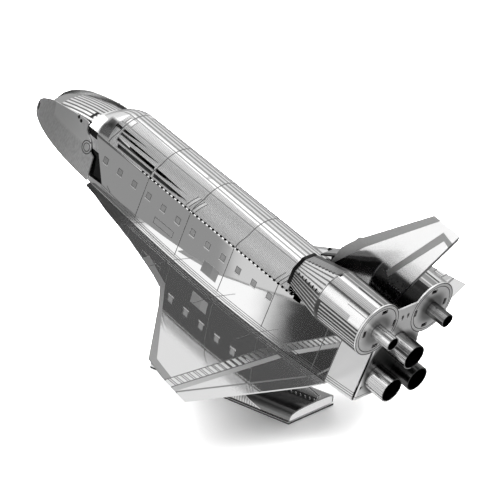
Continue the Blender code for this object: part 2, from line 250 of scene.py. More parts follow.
# Rear plate, half outline below its round heads, and its tab slots as (x, z, half width, half height)
PLATE_HALF = ((5.60, 0.30), (4.50, 8.05))
PLATE_ROUND = (195.4, -59.0)
PLATE_SLOTS = (
    (5.00, 15.60, 0.55, 0.30),
    (8.10, 12.90, 0.28, 0.55),
    (5.00, 9.85, 0.55, 0.30),
    (2.15, 12.80, 0.28, 0.55),
    (0.55, 13.00, 0.22, 0.45),
    (4.90, 2.30, 0.34, 0.26),
    (3.90, 6.60, 0.24, 0.45),
)

# Painted light on the nozzles: their lit and shaded sides and the reflections round them, as (degrees
# from the crown, brightness)
PORT_PAINTED_LIGHT = ((8.0, 0.08), (13.0, 1.0), (47.0, 1.0), (52.0, 0.84), (140.0, 0.95))
TOP_PAINTED_LIGHT = (
    (8.0, 0.20),
    (24.0, 0.30),
    (28.0, 1.0),
    (36.0, 1.0),
    (39.0, 0.55),
    (57.0, 0.50),
    (61.0, 0.08),
    (68.0, 0.08),
    (72.0, 0.75),
    (140.0, 0.65),
)
STARBOARD_PAINTED_LIGHT = ((-30.0, 0.30), (0.0, 0.10), (140.0, 0.10))
POD_PAINTED_LIGHT = ((18.0, 0.65), (24.0, 0.42), (48.0, 0.42), (54.0, 0.90), (88.0, 0.90), (96.0, 0.60))
FAR_POD_PAINTED_LIGHT = ((10.0, 0.12), (30.0, 0.40), (60.0, 0.20), (80.0, 0.55), (140.0, 0.40))

# Nozzles: name, x, z, radius, rear end y, painted light
NOZZLES = (
    ("main_nozzle_port", 2.60, 3.44, 1.92, 3.55, PORT_PAINTED_LIGHT),
    ("main_nozzle_starboard", -2.60, 3.44, 1.92, 3.55, STARBOARD_PAINTED_LIGHT),
    ("main_nozzle_top", 0.0, 8.38, 1.92, 3.65, TOP_PAINTED_LIGHT),
    ("pod_nozzle_port", 5.51, 12.52, 1.08, 3.36, POD_PAINTED_LIGHT),
    ("pod_nozzle_starboard", -5.51, 12.52, 1.08, 3.36, FAR_POD_PAINTED_LIGHT),
)
NOZZLE_FRONT_Y = 0.30

# Stand, in world millimetres: the arch is a squared round, the ribs rise from it to the belly
ARCH_HALF = 4.60
ARCH_TOP_HALF = 0.36
ARCH_FOOT_Z = 0.36
ARCH_CREST_Z = 2.70
ARCH_POWER = 2.8
ARCH_FRONT_Y = -14.7
ARCH_REAR_Y = 14.7
ARCH_REACH = 1.40
ARCH_AFT_RUN = (4.0, 15.4, 12)
RIB_X = 0.30
RIB_REACH = 0.40
RIB_GAP = 0.10
RIB_ROWS = (1.0, 1.02, 1.06, 1.2, 1.5, 2.0)
RIB_SADDLE_Y = (-12.4, 2.4)
RIB_FRONT = ((ARCH_FRONT_Y, 2.80), (-14.4, 12.0))
RIB_REAR = ((5.00, 12.5), (7.30, 8.56), (11.0, 5.50), (ARCH_REAR_Y + ARCH_REACH, 3.45))
END_INSET = 0.24
END_GAP = 0.02
END_HEIGHT = 0.9

# Stage, in metres: half the floor, the reflected card, and lights as (name, place, size, power)
FLOOR_HALF = 3.0
FLOOR_DROP = 0.02 * MM
CARD_SIZE = (0.30, 0.44, 1.0)
CARD_PLACE = (0.100, -0.060, 0.150)
LIGHTS = (
    ("key_soft", (0.18, 0.09, 0.45), 0.70, 10.0),
    ("fill_soft", (-0.35, -0.16, 0.40), 0.70, 10.0),
    ("top_soft", (0.0, 0.0, 0.60), 1.20, 13.0),
)


# Settings


class SheetSettings(bpy.types.PropertyGroup):
    """Sizes of the sheet stock and its bend holes."""

    thickness: bpy.props.FloatProperty(
        name="Sheet thickness",
        description="Thickness of the common steel sheet",
        default=0.22 * MM,
        min=0.05 * MM,
        unit="LENGTH",
    )
    hole_count: bpy.props.IntProperty(
        name="Bend holes",
        description="Holes along the bend line of each side panel",
        default=38,
        min=1,
    )
    hole_length: bpy.props.FloatProperty(
        name="Bend hole length",
        description="Length of one hole along its bend line",
        default=0.42 * MM,
        min=0.05 * MM,
        unit="LENGTH",
    )


class FinishSettings(bpy.types.PropertyGroup):
    """Brightness and roughness of the steel finishes."""

    polished: bpy.props.FloatProperty(
        name="Polished steel",
        description="Brightness of the mirror-bright sheet",
        default=0.93,
        min=0.0,
        max=1.0,
        subtype="FACTOR",
    )
    polished_roughness: bpy.props.FloatProperty(
        name="Polished roughness",
        description="Roughness of the mirror-bright sheet",
        default=0.04,
        min=0.0,
        max=1.0,
        subtype="FACTOR",
    )
    etched: bpy.props.FloatProperty(
        name="Etched steel",
        description="Brightness of the matt etched areas",
        default=0.42,
        min=0.0,
        max=1.0,
        subtype="FACTOR",
    )
    line: bpy.props.FloatProperty(
        name="Etched line",
        description="Brightness of the fine dark etched lines",
        default=0.16,
        min=0.0,
        max=1.0,
        subtype="FACTOR",
    )
    # Painted shade: this level darkens the insides of tubes, pods and body, sheets seen only in shade,
    # and the near-black collars and stand edges.
    dark: bpy.props.FloatProperty(
        name="Dark steel",
        description="Brightness inside tubes and of blackened edges",
        default=0.01,
        min=0.0,
        max=1.0,
        subtype="FACTOR",
    )


class StageSettings(bpy.types.PropertyGroup):
    """Camera and floor."""

    lens: bpy.props.FloatProperty(
        name="Lens",
        description="Focal length on a 36 mm sensor",
        default=167.658,
        min=10.0,
        unit="CAMERA",
    )
    camera_place: bpy.props.FloatVectorProperty(
        name="Camera place",
        description="Place of the camera",
        default=(0.217354, 0.229592, 0.142302),
        subtype="TRANSLATION",
        unit="LENGTH",
        precision=5,
    )
    camera_turn: bpy.props.FloatVectorProperty(
        name="Camera turn",
        description="Rotation of the camera",
        default=(math.radians(69.093), math.radians(1.236), math.radians(135.738)),
        subtype="EULER",
        unit="ROTATION",
    )
    floor_colour: bpy.props.FloatVectorProperty(
        name="Floor",
        description="Colour of the pale floor",
        default=(0.90, 0.90, 0.90),
        subtype="COLOR",
        min=0.0,
        max=1.0,
    )


# Shape of the craft and its stand


def along(table, place):
    """Value at a place, straight between the rows of a table of (place, value)."""
    if place <= table[0][0]:
        return table[0][1]
    for (low, first), (high, last) in zip(table, table[1:]):
        if place <= high:
            return first + (last - first) * (place - low) / (high - low)
    return table[-1][1]


def belly_z(y):
    """Height of the belly sheet: a shallow curve, then a straight ramp to the nose."""
    if y < BELLY_RAMP_Y:
        return belly_z(BELLY_RAMP_Y) + BELLY_RAMP * (BELLY_RAMP_Y - y)
    return BELLY_LOW_Z + BELLY_CURVE * (y - BELLY_LOW_Y) ** 2


def side_x(z):
    """Outer face of a side panel, which leans in towards its bend line."""
    rise = (z - BELLY_LOW_Z) / (BEND_LINE_Z - BELLY_LOW_Z)
    return BODY_HALF_FOOT + (BODY_HALF_HEAD - BODY_HALF_FOOT) * rise


def panel_point(side, y, up):
    """Point of a side panel: up runs to 1 over its flat face, then to 2 round its bend."""
    foot = belly_z(y) + JOINT_GAP
    z = foot + (along(PANEL_HEAD, y) - foot) * min(up, 1.0)
    if y < PANEL_SQUARE_Y:
        share = (y - PANEL_SQUARE_Y) / (PANEL_FRONT_Y - PANEL_SQUARE_Y)
        y = PANEL_SQUARE_Y + share * (along(PANEL_FRONT_EDGE, z) - PANEL_SQUARE_Y)
    x = side_x(z)
    if up > 1.0:
        turn = SIDE_LEAN + (up - 1.0) * (math.pi / 2.0 - SIDE_LEAN)
        x += BEND_RADIUS * (math.cos(turn) - math.cos(SIDE_LEAN))
        z += BEND_RADIUS * (math.sin(turn) - math.sin(SIDE_LEAN))
    return Vector((side * x, y, z))


def fold_point(side, y, across):
    """Point of a side sheet's inward fold, across from its outer edge."""
    width = along(FOLD_WIDTHS, y)
    return Vector((side * (FOLD_X - width * across), y, FOLD_Z + FOLD_RISE * width * across))


def nose_half(y):
    """Half width of the nose in plan."""
    share = min(max((NOSE_STRAIGHT_Y - y) / (NOSE_STRAIGHT_Y - NOSE_FRONT_Y), 0.0), 1.0)
    return NOSE_HALF * math.sqrt(1.0 - NOSE_TAPER * share ** NOSE_TAPER_POWER)


def nose_point(side, y, z):
    """Point of a nose side plate, flared a little towards its rear."""
    flare = NOSE_FLARE * (1.0 - (y / NOSE_FRONT_Y) ** 3)
    return Vector((side * (nose_half(y) + flare) * (1.0 - NOSE_LEAN * z), y, z))


def nose_top_point(y, share):
    """Point of the cambered sheet between the nose plates."""
    z = along(NOSE_CROWN, y)
    half = nose_half(y) * (1.0 - NOSE_LEAN * z) - NOSE_SHEET_INSET
    return Vector((half * share, y, z + NOSE_SHEET_CAMBER * (1.0 - share ** 2)))


def tab_point(side, y, up):
    """Point of an inner tab of the nose, up from its foot."""
    foot = belly_z(y) + TAB_FOOT_GAP
    z = foot + (BEND_LINE_Z - TAB_HEAD_GAP - foot) * up
    return Vector((side * (side_x(z) - TAB_INSET), y, z))


def roof_point(y, degrees):
    """Point of the roof, degrees from its crown: lowered to the nose, with a lip turned in."""
    rise, half = ROOF_RISE, BODY_HALF_HEAD
    if y < ROOF_FULL_Y:
        share = (ROOF_FULL_Y - max(y, ROOF_FRONT_Y)) / (ROOF_FULL_Y - ROOF_FRONT_Y)
        rise += (ROOF_FRONT_RISE - ROOF_RISE) * share ** ROOF_FRONT_POWER
    if y < ROOF_FRONT_Y:
        rise, half = rise - ROOF_LIP, half - ROOF_LIP
    turn = math.radians(degrees)
    return Vector((half * math.sin(turn), y, BEND_LINE_Z + rise * math.cos(turn)))


def lane_degrees(y, lane):
    """Degrees from the crown of a lane: slot edges are whole lanes, upper edges odd."""
    edges = [0.0]
    for upper, lower in ROOF_SLOTS:
        top = along(upper, y)
        edges += [top, max(along(lower, y), top + SLOT_CLOSED)]
    edges.append(along(ROOF_EDGE, y))
    first = min(int(abs(lane)), len(edges) - 2)
    degrees = edges[first] + (edges[first + 1] - edges[first]) * (abs(lane) - first)
    return math.copysign(degrees, lane)


def in_roof_slot(y, lane):
    """Whether a place lies in one of the open slots, or past the roof's narrow aft part."""
    first = int(abs(lane))
    if y > ROOF_AFT_Y:
        return first >= AFT_LANE
    if first % 2 == 0 or first > 2 * len(ROOF_SLOTS):
        return False
    upper = ROOF_SLOTS[first // 2][0]
    on_bar = any(abs(y - bar) < ROOF_BAR_WIDTH / 2.0 for bar in ROOF_BARS_Y)
    return upper[0][0] < y < upper[-1][0] and not on_bar


def wing_point(x, y):
    """Point of the belly and wing sheet, bent up from the foot of each side panel outwards."""
    return Vector((x, y, belly_z(y) + DIHEDRAL * max(0.0, abs(x) - BODY_HALF_FOOT)))


def pod_point(side, y, degrees):
    """Point of a pod's cylinder, degrees from its crown towards the outboard side."""
    turn = math.radians(degrees)
    x = POD_X + POD_RADIUS * math.sin(turn)
    return Vector((side * x, y, POD_Z + POD_RADIUS * math.cos(turn)))


def fairing_point(side, share, row):
    """Point of a pod fairing: share along it, row across its facets."""
    first = min(int(row), len(FAIRING_CORNERS) - 2)
    ends = []
    for x, z, degrees in FAIRING_CORNERS[first:first + 2]:
        ahead = Vector((side * x, FAIRING_FRONT_Y, z))
        ends.append(ahead.lerp(pod_point(side, FAIRING_REAR_Y, degrees), share))
    return ends[0].lerp(ends[1], row - first)


def saddle_z(y_world):
    """World height of a rib's top under the belly, on the centreline at a world station."""
    z = 0.0
    for _ in range(5):
        y = (y_world - CRAFT_PLACE.y / MM - z * math.sin(PITCH)) / math.cos(PITCH)
        z = belly_z(y) - SOLID_SHEET
    return CRAFT_PLACE.z / MM - y * math.sin(PITCH) + z * math.cos(PITCH) - RIB_GAP


def rib_top(y):
    """Height of a rib's upper edge: a step at the front, the belly's saddle, then a run down."""
    first, last = RIB_SADDLE_Y
    if y < first:
        return along((*RIB_FRONT, (first, saddle_z(first))), y)
    if y <= last:
        return saddle_z(y)
    return along(((last, saddle_z(last)), *RIB_REAR), y)


def stand_point(side, y, up):
    """Point of a stand half: up runs to 1 over the arch, then to 2 up the rib."""
    if up <= 1.0:
        x = max(ARCH_HALF * math.cos(up * math.pi / 2.0) ** (2.0 / ARCH_POWER), ARCH_TOP_HALF)
        rise = (1.0 - (x / ARCH_HALF) ** ARCH_POWER) ** (1.0 / ARCH_POWER)
        z = ARCH_FOOT_Z + (ARCH_CREST_Z - ARCH_FOOT_Z) * rise
    else:
        x = RIB_X
        z = ARCH_CREST_Z + (rib_top(y) - ARCH_CREST_Z) * (up - 1.0)
    reach = ARCH_REACH * (min(z, ARCH_CREST_Z) / ARCH_CREST_Z) ** 2
    share = (y - ARCH_FRONT_Y) / (ARCH_REAR_Y + ARCH_REACH - ARCH_FRONT_Y)
    rear = ARCH_REAR_Y + reach + RIB_REACH * max(up - 1.0, 0.0)
    return Vector((side * x, ARCH_FRONT_Y + share * (rear - ARCH_FRONT_Y), z))


def end_point(share, up):
    """Point of the plate that closes the rear end of the arch."""
    outer = stand_point(1.0, ARCH_REAR_Y + ARCH_REACH, up)
    half = max(outer.x - END_INSET, 0.0)
    return Vector((half * share, outer.y - END_GAP, ARCH_FOOT_Z + (outer.z - ARCH_FOOT_Z) * END_HEIGHT))


# Modelling tools


def spread(first, last, count):
    """Stations from first to last, both ends included."""
    return [first + (last - first) * k / count for k in range(count + 1)]


def mirrored(half):
    """Whole outline from the half on the port side."""
    return [*half, *((-x, other) for x, other in reversed(half))]


def station_grid(columns, rows, place, opening=None):
    """Sheet over two lists of stations: place() sets each corner, opening() picks its holes."""
    bm = bmesh.new()
    stations = bm.verts.layers.float_vector.new("stations")
    across, up = len(columns) - 1, len(rows) - 1
    bmesh.ops.create_grid(bm, x_segments=across, y_segments=up, size=0.5)
    gone = []
    for face in bm.faces:
        middle = face.calc_center_median()
        k, j = int((middle.x + 0.5) * across), int((middle.y + 0.5) * up)
        column, row = (columns[k] + columns[k + 1]) / 2.0, (rows[j] + rows[j + 1]) / 2.0
        if opening and opening(column, row):
            gone.append(face)
    bmesh.ops.delete(bm, geom=gone, context="FACES")
    for vert in bm.verts:
        column = columns[round((vert.co.x + 0.5) * across)]
        row = rows[round((vert.co.y + 0.5) * up)]
        vert[stations] = (column, row, 0.0)
        vert.co = place(column, row)
    return bm


def outline_sheet(points, place, cuts_across=(), cuts_up=(), opening=None):
    """Flat outline cut at stations of each axis, then bent by place(); opening() picks its holes."""
    bm = bmesh.new()
    bm.faces.new([bm.verts.new((u, v, 0.0)) for u, v in points])
    planes = [(Vector((u, 0.0, 0.0)), Vector((1.0, 0.0, 0.0))) for u in cuts_across]
    planes += [(Vector((0.0, v, 0.0)), Vector((0.0, 1.0, 0.0))) for v in cuts_up]
    for middle, normal in planes:
        geom = bm.verts[:] + bm.edges[:] + bm.faces[:]
        bmesh.ops.bisect_plane(bm, geom=geom, dist=1e-5, plane_co=middle, plane_no=normal)
    if opening:
        gone = [face for face in bm.faces if opening(*face.calc_center_median().xy)]
        bmesh.ops.delete(bm, geom=gone, context="FACES")
    for vert in bm.verts:
        vert.co = place(vert.co.x, vert.co.y)
    return bm


def turn_faces(bm, towards):
    """Reverse the faces of an open sheet if most of them look away from towards(face)."""
    bm.normal_update()
    total = sum(face.normal.dot(towards(face)) * face.calc_area() for face in bm.faces)
    if total < 0.0:
        bmesh.ops.reverse_faces(bm, faces=bm.faces)
    bm.normal_update()


def face_from_axis(bm, x, z):
    """Turn the faces of a rolled sheet away from an axis along Y."""
    def away(face):
        middle = face.calc_center_median()
        return Vector((middle.x - x, 0.0, middle.z - z))

    turn_faces(bm, away)


def add_mesh(name, bm, materials):
    """Make a finished bmesh an object at the origin."""
    mesh = bpy.data.meshes.new(name)
    bm.to_mesh(mesh)
    bm.free()
    for material in materials:
        mesh.materials.append(material)
    item = bpy.data.objects.new(name, mesh)
    bpy.context.scene.collection.objects.link(item)
    return item


def add_piece(
    name, bm, materials, facing=None, replaces=None, thickness=None, sharp=25.0, place=CRAFT
):
    """Give a sheet its wall and make it a piece on the model's one body.

    Its faces are turned to look along facing, and a second material goes on
    its back. The wall is the common sheet unless it has a thickness of its own.
    """
    if facing:
        turn_faces(bm, lambda face: Vector(facing))
    if thickness is None:
        thickness = bpy.context.scene.steel_sheet.thickness / MM
    back = bmesh.ops.solidify(bm, geom=bm.faces[:], thickness=thickness)["geom"]
    for face in back:
        if isinstance(face, bmesh.types.BMFace) and len(materials) > 1:
            face.material_index = 1
    bm.transform(place)
    piece = add_mesh(name, bm, materials)
    piece.data.shade_smooth()
    piece.data.set_sharp_from_angle(angle=math.radians(sharp))
    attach(piece, "root")
    if replaces:
        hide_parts(replaces)


def dress_node(name, material):
    """Give a CAD node its material in every slot."""
    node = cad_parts[name]
    if not node.material_slots:
        node.data.materials.append(material)
    for place in node.material_slots:
        place.material = material


# Finishes


class Field:
    """A value that a shader tree works out at each point, built up with arithmetic."""

    def __init__(self, tree, socket):
        self.tree = tree
        self.socket = socket

    def math(self, operation, *others):
        node = self.tree.nodes.new("ShaderNodeMath")
        node.operation = operation
        for entry, value in zip(node.inputs, (self, *others)):
            if isinstance(value, Field):
                self.tree.links.new(value.socket, entry)
            else:
                entry.default_value = value
        return Field(self.tree, node.outputs[0])

    def __add__(self, other):
        return self.math("ADD", other)

    def __sub__(self, other):
        return self.math("SUBTRACT", other)

    def __mul__(self, other):
        return self.math("MULTIPLY", other)

    def near(self, place, width):
        """One within half a width of a place."""
        return self.math("COMPARE", place, width / 2.0)

    def between(self, low, high):
        """One from low to high."""
        return self.near((low + high) / 2.0, high - low)

    def above(self, edge):
        return self.math("GREATER_THAN", edge)

    def below(self, edge):
        return self.math("LESS_THAN", edge)

    def every(self, start, step, width):
        """One on each of a row of stripes."""
        shifted = (self - (start - step / 2.0)).math("FLOORED_MODULO", step)
        return shifted.near(step / 2.0, width)

    def either(self, *others):
        """The highest of this value and others."""
        total = self
        for other in others:
            total = total.math("MAXIMUM", other)
        return total

    def off(self):
        """One where the value is nought."""
        return self * -1.0 + 1.0

    def ramp(self, low, high, smooth=True):
        """Step from nought at low to one at high."""
        node = self.tree.nodes.new("ShaderNodeMapRange")
        node.interpolation_type = "SMOOTHSTEP" if smooth else "LINEAR"
        self.tree.links.new(self.socket, node.inputs["Value"])
        node.inputs["From Min"].default_value = low
        node.inputs["From Max"].default_value = high
        return Field(self.tree, node.outputs["Result"])

    def table(self, rows):
        """Straight between the rows of a table of (place, value)."""
        total = self * 0.0 + rows[0][1]
        for (low, first), (high, last) in zip(rows, rows[1:]):
            total = total + self.ramp(low, high, smooth=False) * (last - first)
        return total

    def choose(self, one, nought):
        """The first of two values where this one is one, the second where it is nought."""
        return self * one + self.off() * nought


def split(tree, vector):
    """X, Y and Z of a vector, as fields."""
    node = tree.nodes.new("ShaderNodeSeparateXYZ")
    tree.links.new(vector, node.inputs["Vector"])
    return [Field(tree, node.outputs[k]) for k in "XYZ"]


def coordinates(tree, kind="Object"):
    """X, Y and Z of one kind of texture coordinate, as fields."""
    return split(tree, tree.nodes.new("ShaderNodeTexCoord").outputs[kind])


def glow(tree, level):
    """Output of a shader that gives off light by a field."""
    node = tree.nodes.new("ShaderNodeEmission")
    tree.links.new(level.socket, node.inputs["Strength"])
    return node.outputs[0]


def left_of(across, up, first, last):
    """Distance to the left of the line from first to last, as a field."""
    run, rise = last[0] - first[0], last[1] - first[1]
    length = math.hypot(run, rise)
    return (across - first[0]) * (-rise / length) + (up - first[1]) * (run / length)


def right_of_all(across, up, points):
    """One to the right of every line of a run of points."""
    total, *masks = (left_of(across, up, *ends).below(0.0) for ends in zip(points, points[1:]))
    for mask in masks:
        total = total * mask
    return total


def box_mask(across, up, corners):
    """One inside a rectangle (low across, low up, high across, high up)."""
    return across.between(corners[0], corners[2]) * up.between(corners[1], corners[3])


def box_line(across, up, corners, width):
    """One on the outline of a rectangle."""
    inner = (corners[0] + width, corners[1] + width, corners[2] - width, corners[3] - width)
    return box_mask(across, up, corners) - box_mask(across, up, inner)


def distance(across, up, middle):
    """Distance from a point of the sheet, as a field."""
    run, rise = across - middle[0], up - middle[1]
    return (run * run + rise * rise).math("SQRT")


def any_near(field, places, width):
    """One near any of a list of places."""
    first, *others = (field.near(place, width) for place in places)
    return first.either(*others)


class Finish:
    """One steel finish, its pattern drawn in millimetres."""

    def __init__(self, name, on_stand=False):
        self.material = bpy.data.materials.new(name)
        self.material.use_nodes = True
        self.tree = self.material.node_tree
        self.shader = self.tree.nodes["Principled BSDF"]
        self.shader.inputs["Metallic"].default_value = 1.0
        coords = self.tree.nodes.new("ShaderNodeTexCoord")
        mapping = self.tree.nodes.new("ShaderNodeMapping")
        mapping.vector_type = "TEXTURE"
        mapping.inputs["Scale"].default_value = (MM, MM, MM)
        if not on_stand:
            mapping.inputs["Location"].default_value = CRAFT_PLACE
            mapping.inputs["Rotation"].default_value = (-PITCH, 0.0, 0.0)
        self.tree.links.new(coords.outputs["Object"], mapping.inputs["Vector"])
        self.place = mapping.outputs["Vector"]
        self.x, self.y, self.z = split(self.tree, self.place)
        self.out = self.x.math("ABSOLUTE")
        self.relief = None

    def stations(self):
        """Column and row of the grid that a sheet was made on."""
        node = self.tree.nodes.new("ShaderNodeAttribute")
        node.attribute_name = "stations"
        return split(self.tree, node.outputs["Vector"])[:2]

    def around(self, across, x, z, squash=1.0):
        """Degrees around an axis along Y, from its crown."""
        turn = ((across - x) * squash).math("ARCTAN2", self.z - z)
        return turn * (180.0 / math.pi)

    def noise(self, scale, stretch=(1.0, 1.0, 1.0), detail=3.0):
        """Grain from nought to one, its scale in cells to the millimetre."""
        mapping = self.tree.nodes.new("ShaderNodeMapping")
        mapping.inputs["Scale"].default_value = stretch
        node = self.tree.nodes.new("ShaderNodeTexNoise")
        node.inputs["Scale"].default_value = scale
        node.inputs["Detail"].default_value = detail
        self.tree.links.new(self.place, mapping.inputs["Vector"])
        self.tree.links.new(mapping.outputs["Vector"], node.inputs["Vector"])
        return Field(self.tree, node.outputs["Fac"])

    def drive(self, entry, field):
        """Let a field drive one entry of the shader."""
        self.tree.links.new(field.socket, self.shader.inputs[entry])

    def lay(self, level, roughness, coats=(), haze=0.02, haze_scale=1.5):
        """Lay the ground, then each coat (mask, level, roughness), with a faint haze over all."""
        for mask, coat_level, coat_roughness in coats:
            level = mask.choose(coat_level, level)
            roughness = mask.choose(coat_roughness, roughness)
        if isinstance(level, Field):
            self.drive("Base Color", level)
        else:
            self.shader.inputs["Base Color"].default_value = (level, level, level, 1.0)
        self.drive("Roughness", self.noise(haze_scale) * haze + roughness)

    def emboss(self, height, depth):
        """Raise the surface by a height field, its depth in millimetres."""
        bump = self.tree.nodes.new("ShaderNodeBump")
        bump.inputs["Distance"].default_value = depth * MM
        self.tree.links.new(height.socket, bump.inputs["Height"])
        if self.relief:
            self.tree.links.new(self.relief, bump.inputs["Normal"])
        self.relief = bump.outputs["Normal"]
        self.tree.links.new(self.relief, self.shader.inputs["Normal"])

    def engrave(self, mask, depth):
        """Sink the surface under a mask, its depth in millimetres."""
        self.emboss(mask * -1.0, depth)

    def handle(self, depth=0.006):
        """Let a thin sheet waver a little, as a hand-folded one does."""
        self.emboss(self.noise(0.25, detail=1.0), depth)


def panel_finish(steel):
    """Mirror sheet of the fuselage side with its etched lines, squares and plates, and a painted
    highlight under each square.
    """
    finish = Finish("polished_side_sheet")
    y, z = finish.y, finish.z
    lift = z - (y - BELLY_LOW_Y).math("POWER", 2.0) * BELLY_CURVE - BELLY_LOW_Z
    joints = any_near(y, PANEL_JOINTS_Y, 0.13) * lift.above(0.9)
    aft_lines = any_near(y, (-8.15, -5.40), 0.14)
    foot_lines = any_near(lift, (0.38, 0.72, 1.05), 0.09) * y.above(-55.0)
    hatch = box_line(y, z, (-43.4, 1.49, -39.1, 2.54), 0.10)
    tick = left_of(y, z, (-53.87, 1.22), (-52.94, 0.76)).near(0.0, 0.12) * y.between(-53.9, -52.9)
    lines = joints.either(aft_lines, foot_lines, hatch, tick)
    first, step, middle = -55.73, 3.308, 4.50
    row = y.between(-56.6, -18.4)
    squares, fills = (
        y.every(first, step, size) * z.near(middle, size) * row for size in (1.02, 0.84)
    )
    # Painted highlight: a bright bar along the lower edge of each square, where light catches the
    # etched step.
    painted_square_highlights = y.every(first, step, 1.20) * z.between(middle - 0.70, middle - 0.50) * row
    plate = box_mask(y, z, (-32.2, 0.43, -28.9, 2.29))
    shade = y.above(-30.2) * 0.06 + steel.etched
    aft = y.above(-5.35)
    coats = (
        (aft, 0.90, 0.30),
        (squares, steel.line, 0.36),
        (fills, steel.etched + 0.10, 0.42),
        (plate, shade, 0.42),
        (painted_square_highlights, 1.0, 0.36),
        (lines, steel.line, 0.35),
    )
    finish.lay(steel.polished, steel.polished_roughness, coats)
    finish.handle()
    finish.engrave(squares.either(plate, lines), 0.02)
    return finish.material


def wing_finish(steel):
    """Mirror sheet of belly and wings with the etched leading edge and elevon lines, painted shade
    inside the body, and rungs painted brighter outboard as a reflection.
    """
    finish = Finish("polished_wing_sheet")
    out, y = finish.out, finish.y
    inner = y.table(((-39.4, 8.9), (-33.2, 11.3), (-19.4, 25.3), (-15.3, 26.4)))
    edge = (out - inner).above(0.0) * y.between(-39.5, -15.1)
    ladder = y.between(-15.05, -13.40) * out.between(7.0, 27.9)
    rungs = ladder * out.every(7.5, 1.18, 0.64)
    frames = ladder * any_near((out - 7.0).math("FLOORED_MODULO", 1.18), (0.10, 0.90), 0.13)
    rails = any_near(y, (-15.1, -13.40), 0.16) * out.above(6.9)
    strip = y.between(-13.3, -12.4) * out.above(7.4)
    fold = left_of(out, y, (6.0, -7.0), (28.0, -12.2)).near(0.0, 0.34) * out.above(6.3)
    roots = any_near(out, (6.15, 6.90, 7.30), 0.08) * y.above(-50.0)
    joints = any_near(y, PANEL_JOINTS_Y, 0.12) * out.between(6.0, 10.5)
    lines = rails.either(roots, joints, frames)
    # Painted shade: inside the body the sheet is painted near black.
    inside = out.below(5.6) * y.above(-61.0)
    grain = finish.noise(3.0) * 0.10 + (steel.etched - 0.03)
    coats = (
        (y.ramp(-45.0, -49.0) * out.above(6.0), 0.24, 0.30),
        (edge, grain, 0.42),
        (strip, 0.62, 0.30),
        # Painted reflection: the rungs are painted dark inboard and bright outboard.
        (rungs, out.ramp(9.0, 16.0) * 0.74 + 0.20, 0.36),
        (fold, 0.34, 0.36),
        (lines, steel.line, 0.35),
        (inside, steel.dark + 0.02, 0.40),
    )
    finish.lay(steel.polished, steel.polished_roughness, coats)
    finish.handle(0.004)
    finish.emboss(edge.either(lines) * -1.0 + rungs, 0.02)
    return finish.material


def roof_finish(steel):
    """Bright roof sheet with broad stripes over its crown and fine lines down its flanks, and a painted
    highlight on its front shoulder.
    """
    finish = Finish("lined_roof_sheet")
    y = finish.y
    turn = finish.around(finish.x, 0.0, BEND_LINE_Z, ROOF_RISE / BODY_HALF_HEAD)
    flank = turn.math("ABSOLUTE")
    drift = turn - (y + 54.0) * 0.26
    broad = any_near(drift, spread(-44.0, 3.5, 5), 4.4).either(drift.near(13.0, 3.0))
    swept = turn - (y + 55.0) * 0.40
    lined = (swept.above(14.5) * y.above(ROOF_FULL_Y - 0.3)).either(drift.below(-50.0))
    fine = flank.every(24.0, 2.5, 1.1) * lined
    seams = any_near(flank, (24.0, 35.0), 1.1) * lined
    across = any_near(y + flank.ramp(48.0, 90.0) * 0.9, (-55.5, -46.0, -36.5, -26.9), 0.17)
    pane_frame = box_mask(y, flank, (-56.2, 15.0, -54.3, 35.0))
    pane = box_mask(y, flank, (-55.9, 18.0, -54.6, 32.0))
    pane_edge = box_line(y, flank, (-56.0, 17.0, -54.5, 34.0), 0.12)
    slope = y + (flank - 58.0) * 0.042
    rails = any_near(slope, (-37.6, -37.0, -36.2, -35.6), 0.14)
    bars = slope.between(-37.6, -37.0).either(slope.between(-36.2, -35.6))
    rails_aft = any_near(slope, (-18.2, -17.5, -16.9), 0.14) * flank.between(62.0, 88.0)
    ladder = flank.between(55.0, 86.0)
    # Painted highlight: the front shoulder is painted white and made less metallic, so that it shows as
    # a bright glint.
    painted_shoulder_highlight = y.ramp(-58.7, -59.6) * flank.ramp(48.0, 58.0)
    shade = y.ramp(-59.2, -58.2) * y.ramp(-55.8, -57.6)
    shade = shade * flank.ramp(36.0, 44.0) * flank.ramp(70.0, 54.0)
    coats = (
        (broad, 0.38, 0.34),
        (lined, 0.92, 0.45),
        (fine, 0.44, 0.45),
        (seams, 0.36, 0.45),
        (painted_shoulder_highlight, 1.0, 0.42),
        (shade, 0.14, 0.30),
        (pane_frame, 0.62, 0.40),
        (pane, 1.0, 0.36),
        (bars * ladder, 0.95, 0.36),
        ((rails * ladder).either(rails_aft, pane_edge), steel.line, 0.40),
        (across, 0.22, 0.40),
    )
    finish.lay(steel.polished, 0.13, coats, haze=0.05)
    finish.drive("Metallic", painted_shoulder_highlight * -0.8 + 1.0)
    finish.engrave(fine + broad + across + rails, 0.012)
    creased = flank.ramp(54.0, 58.0) * flank.ramp(70.0, 66.0)
    creased = creased * y.ramp(-56.8, -56.0) * y.ramp(-52.0, -54.0)
    finish.emboss(finish.noise(2.0, detail=2.0) * creased, 0.06)
    return finish.material


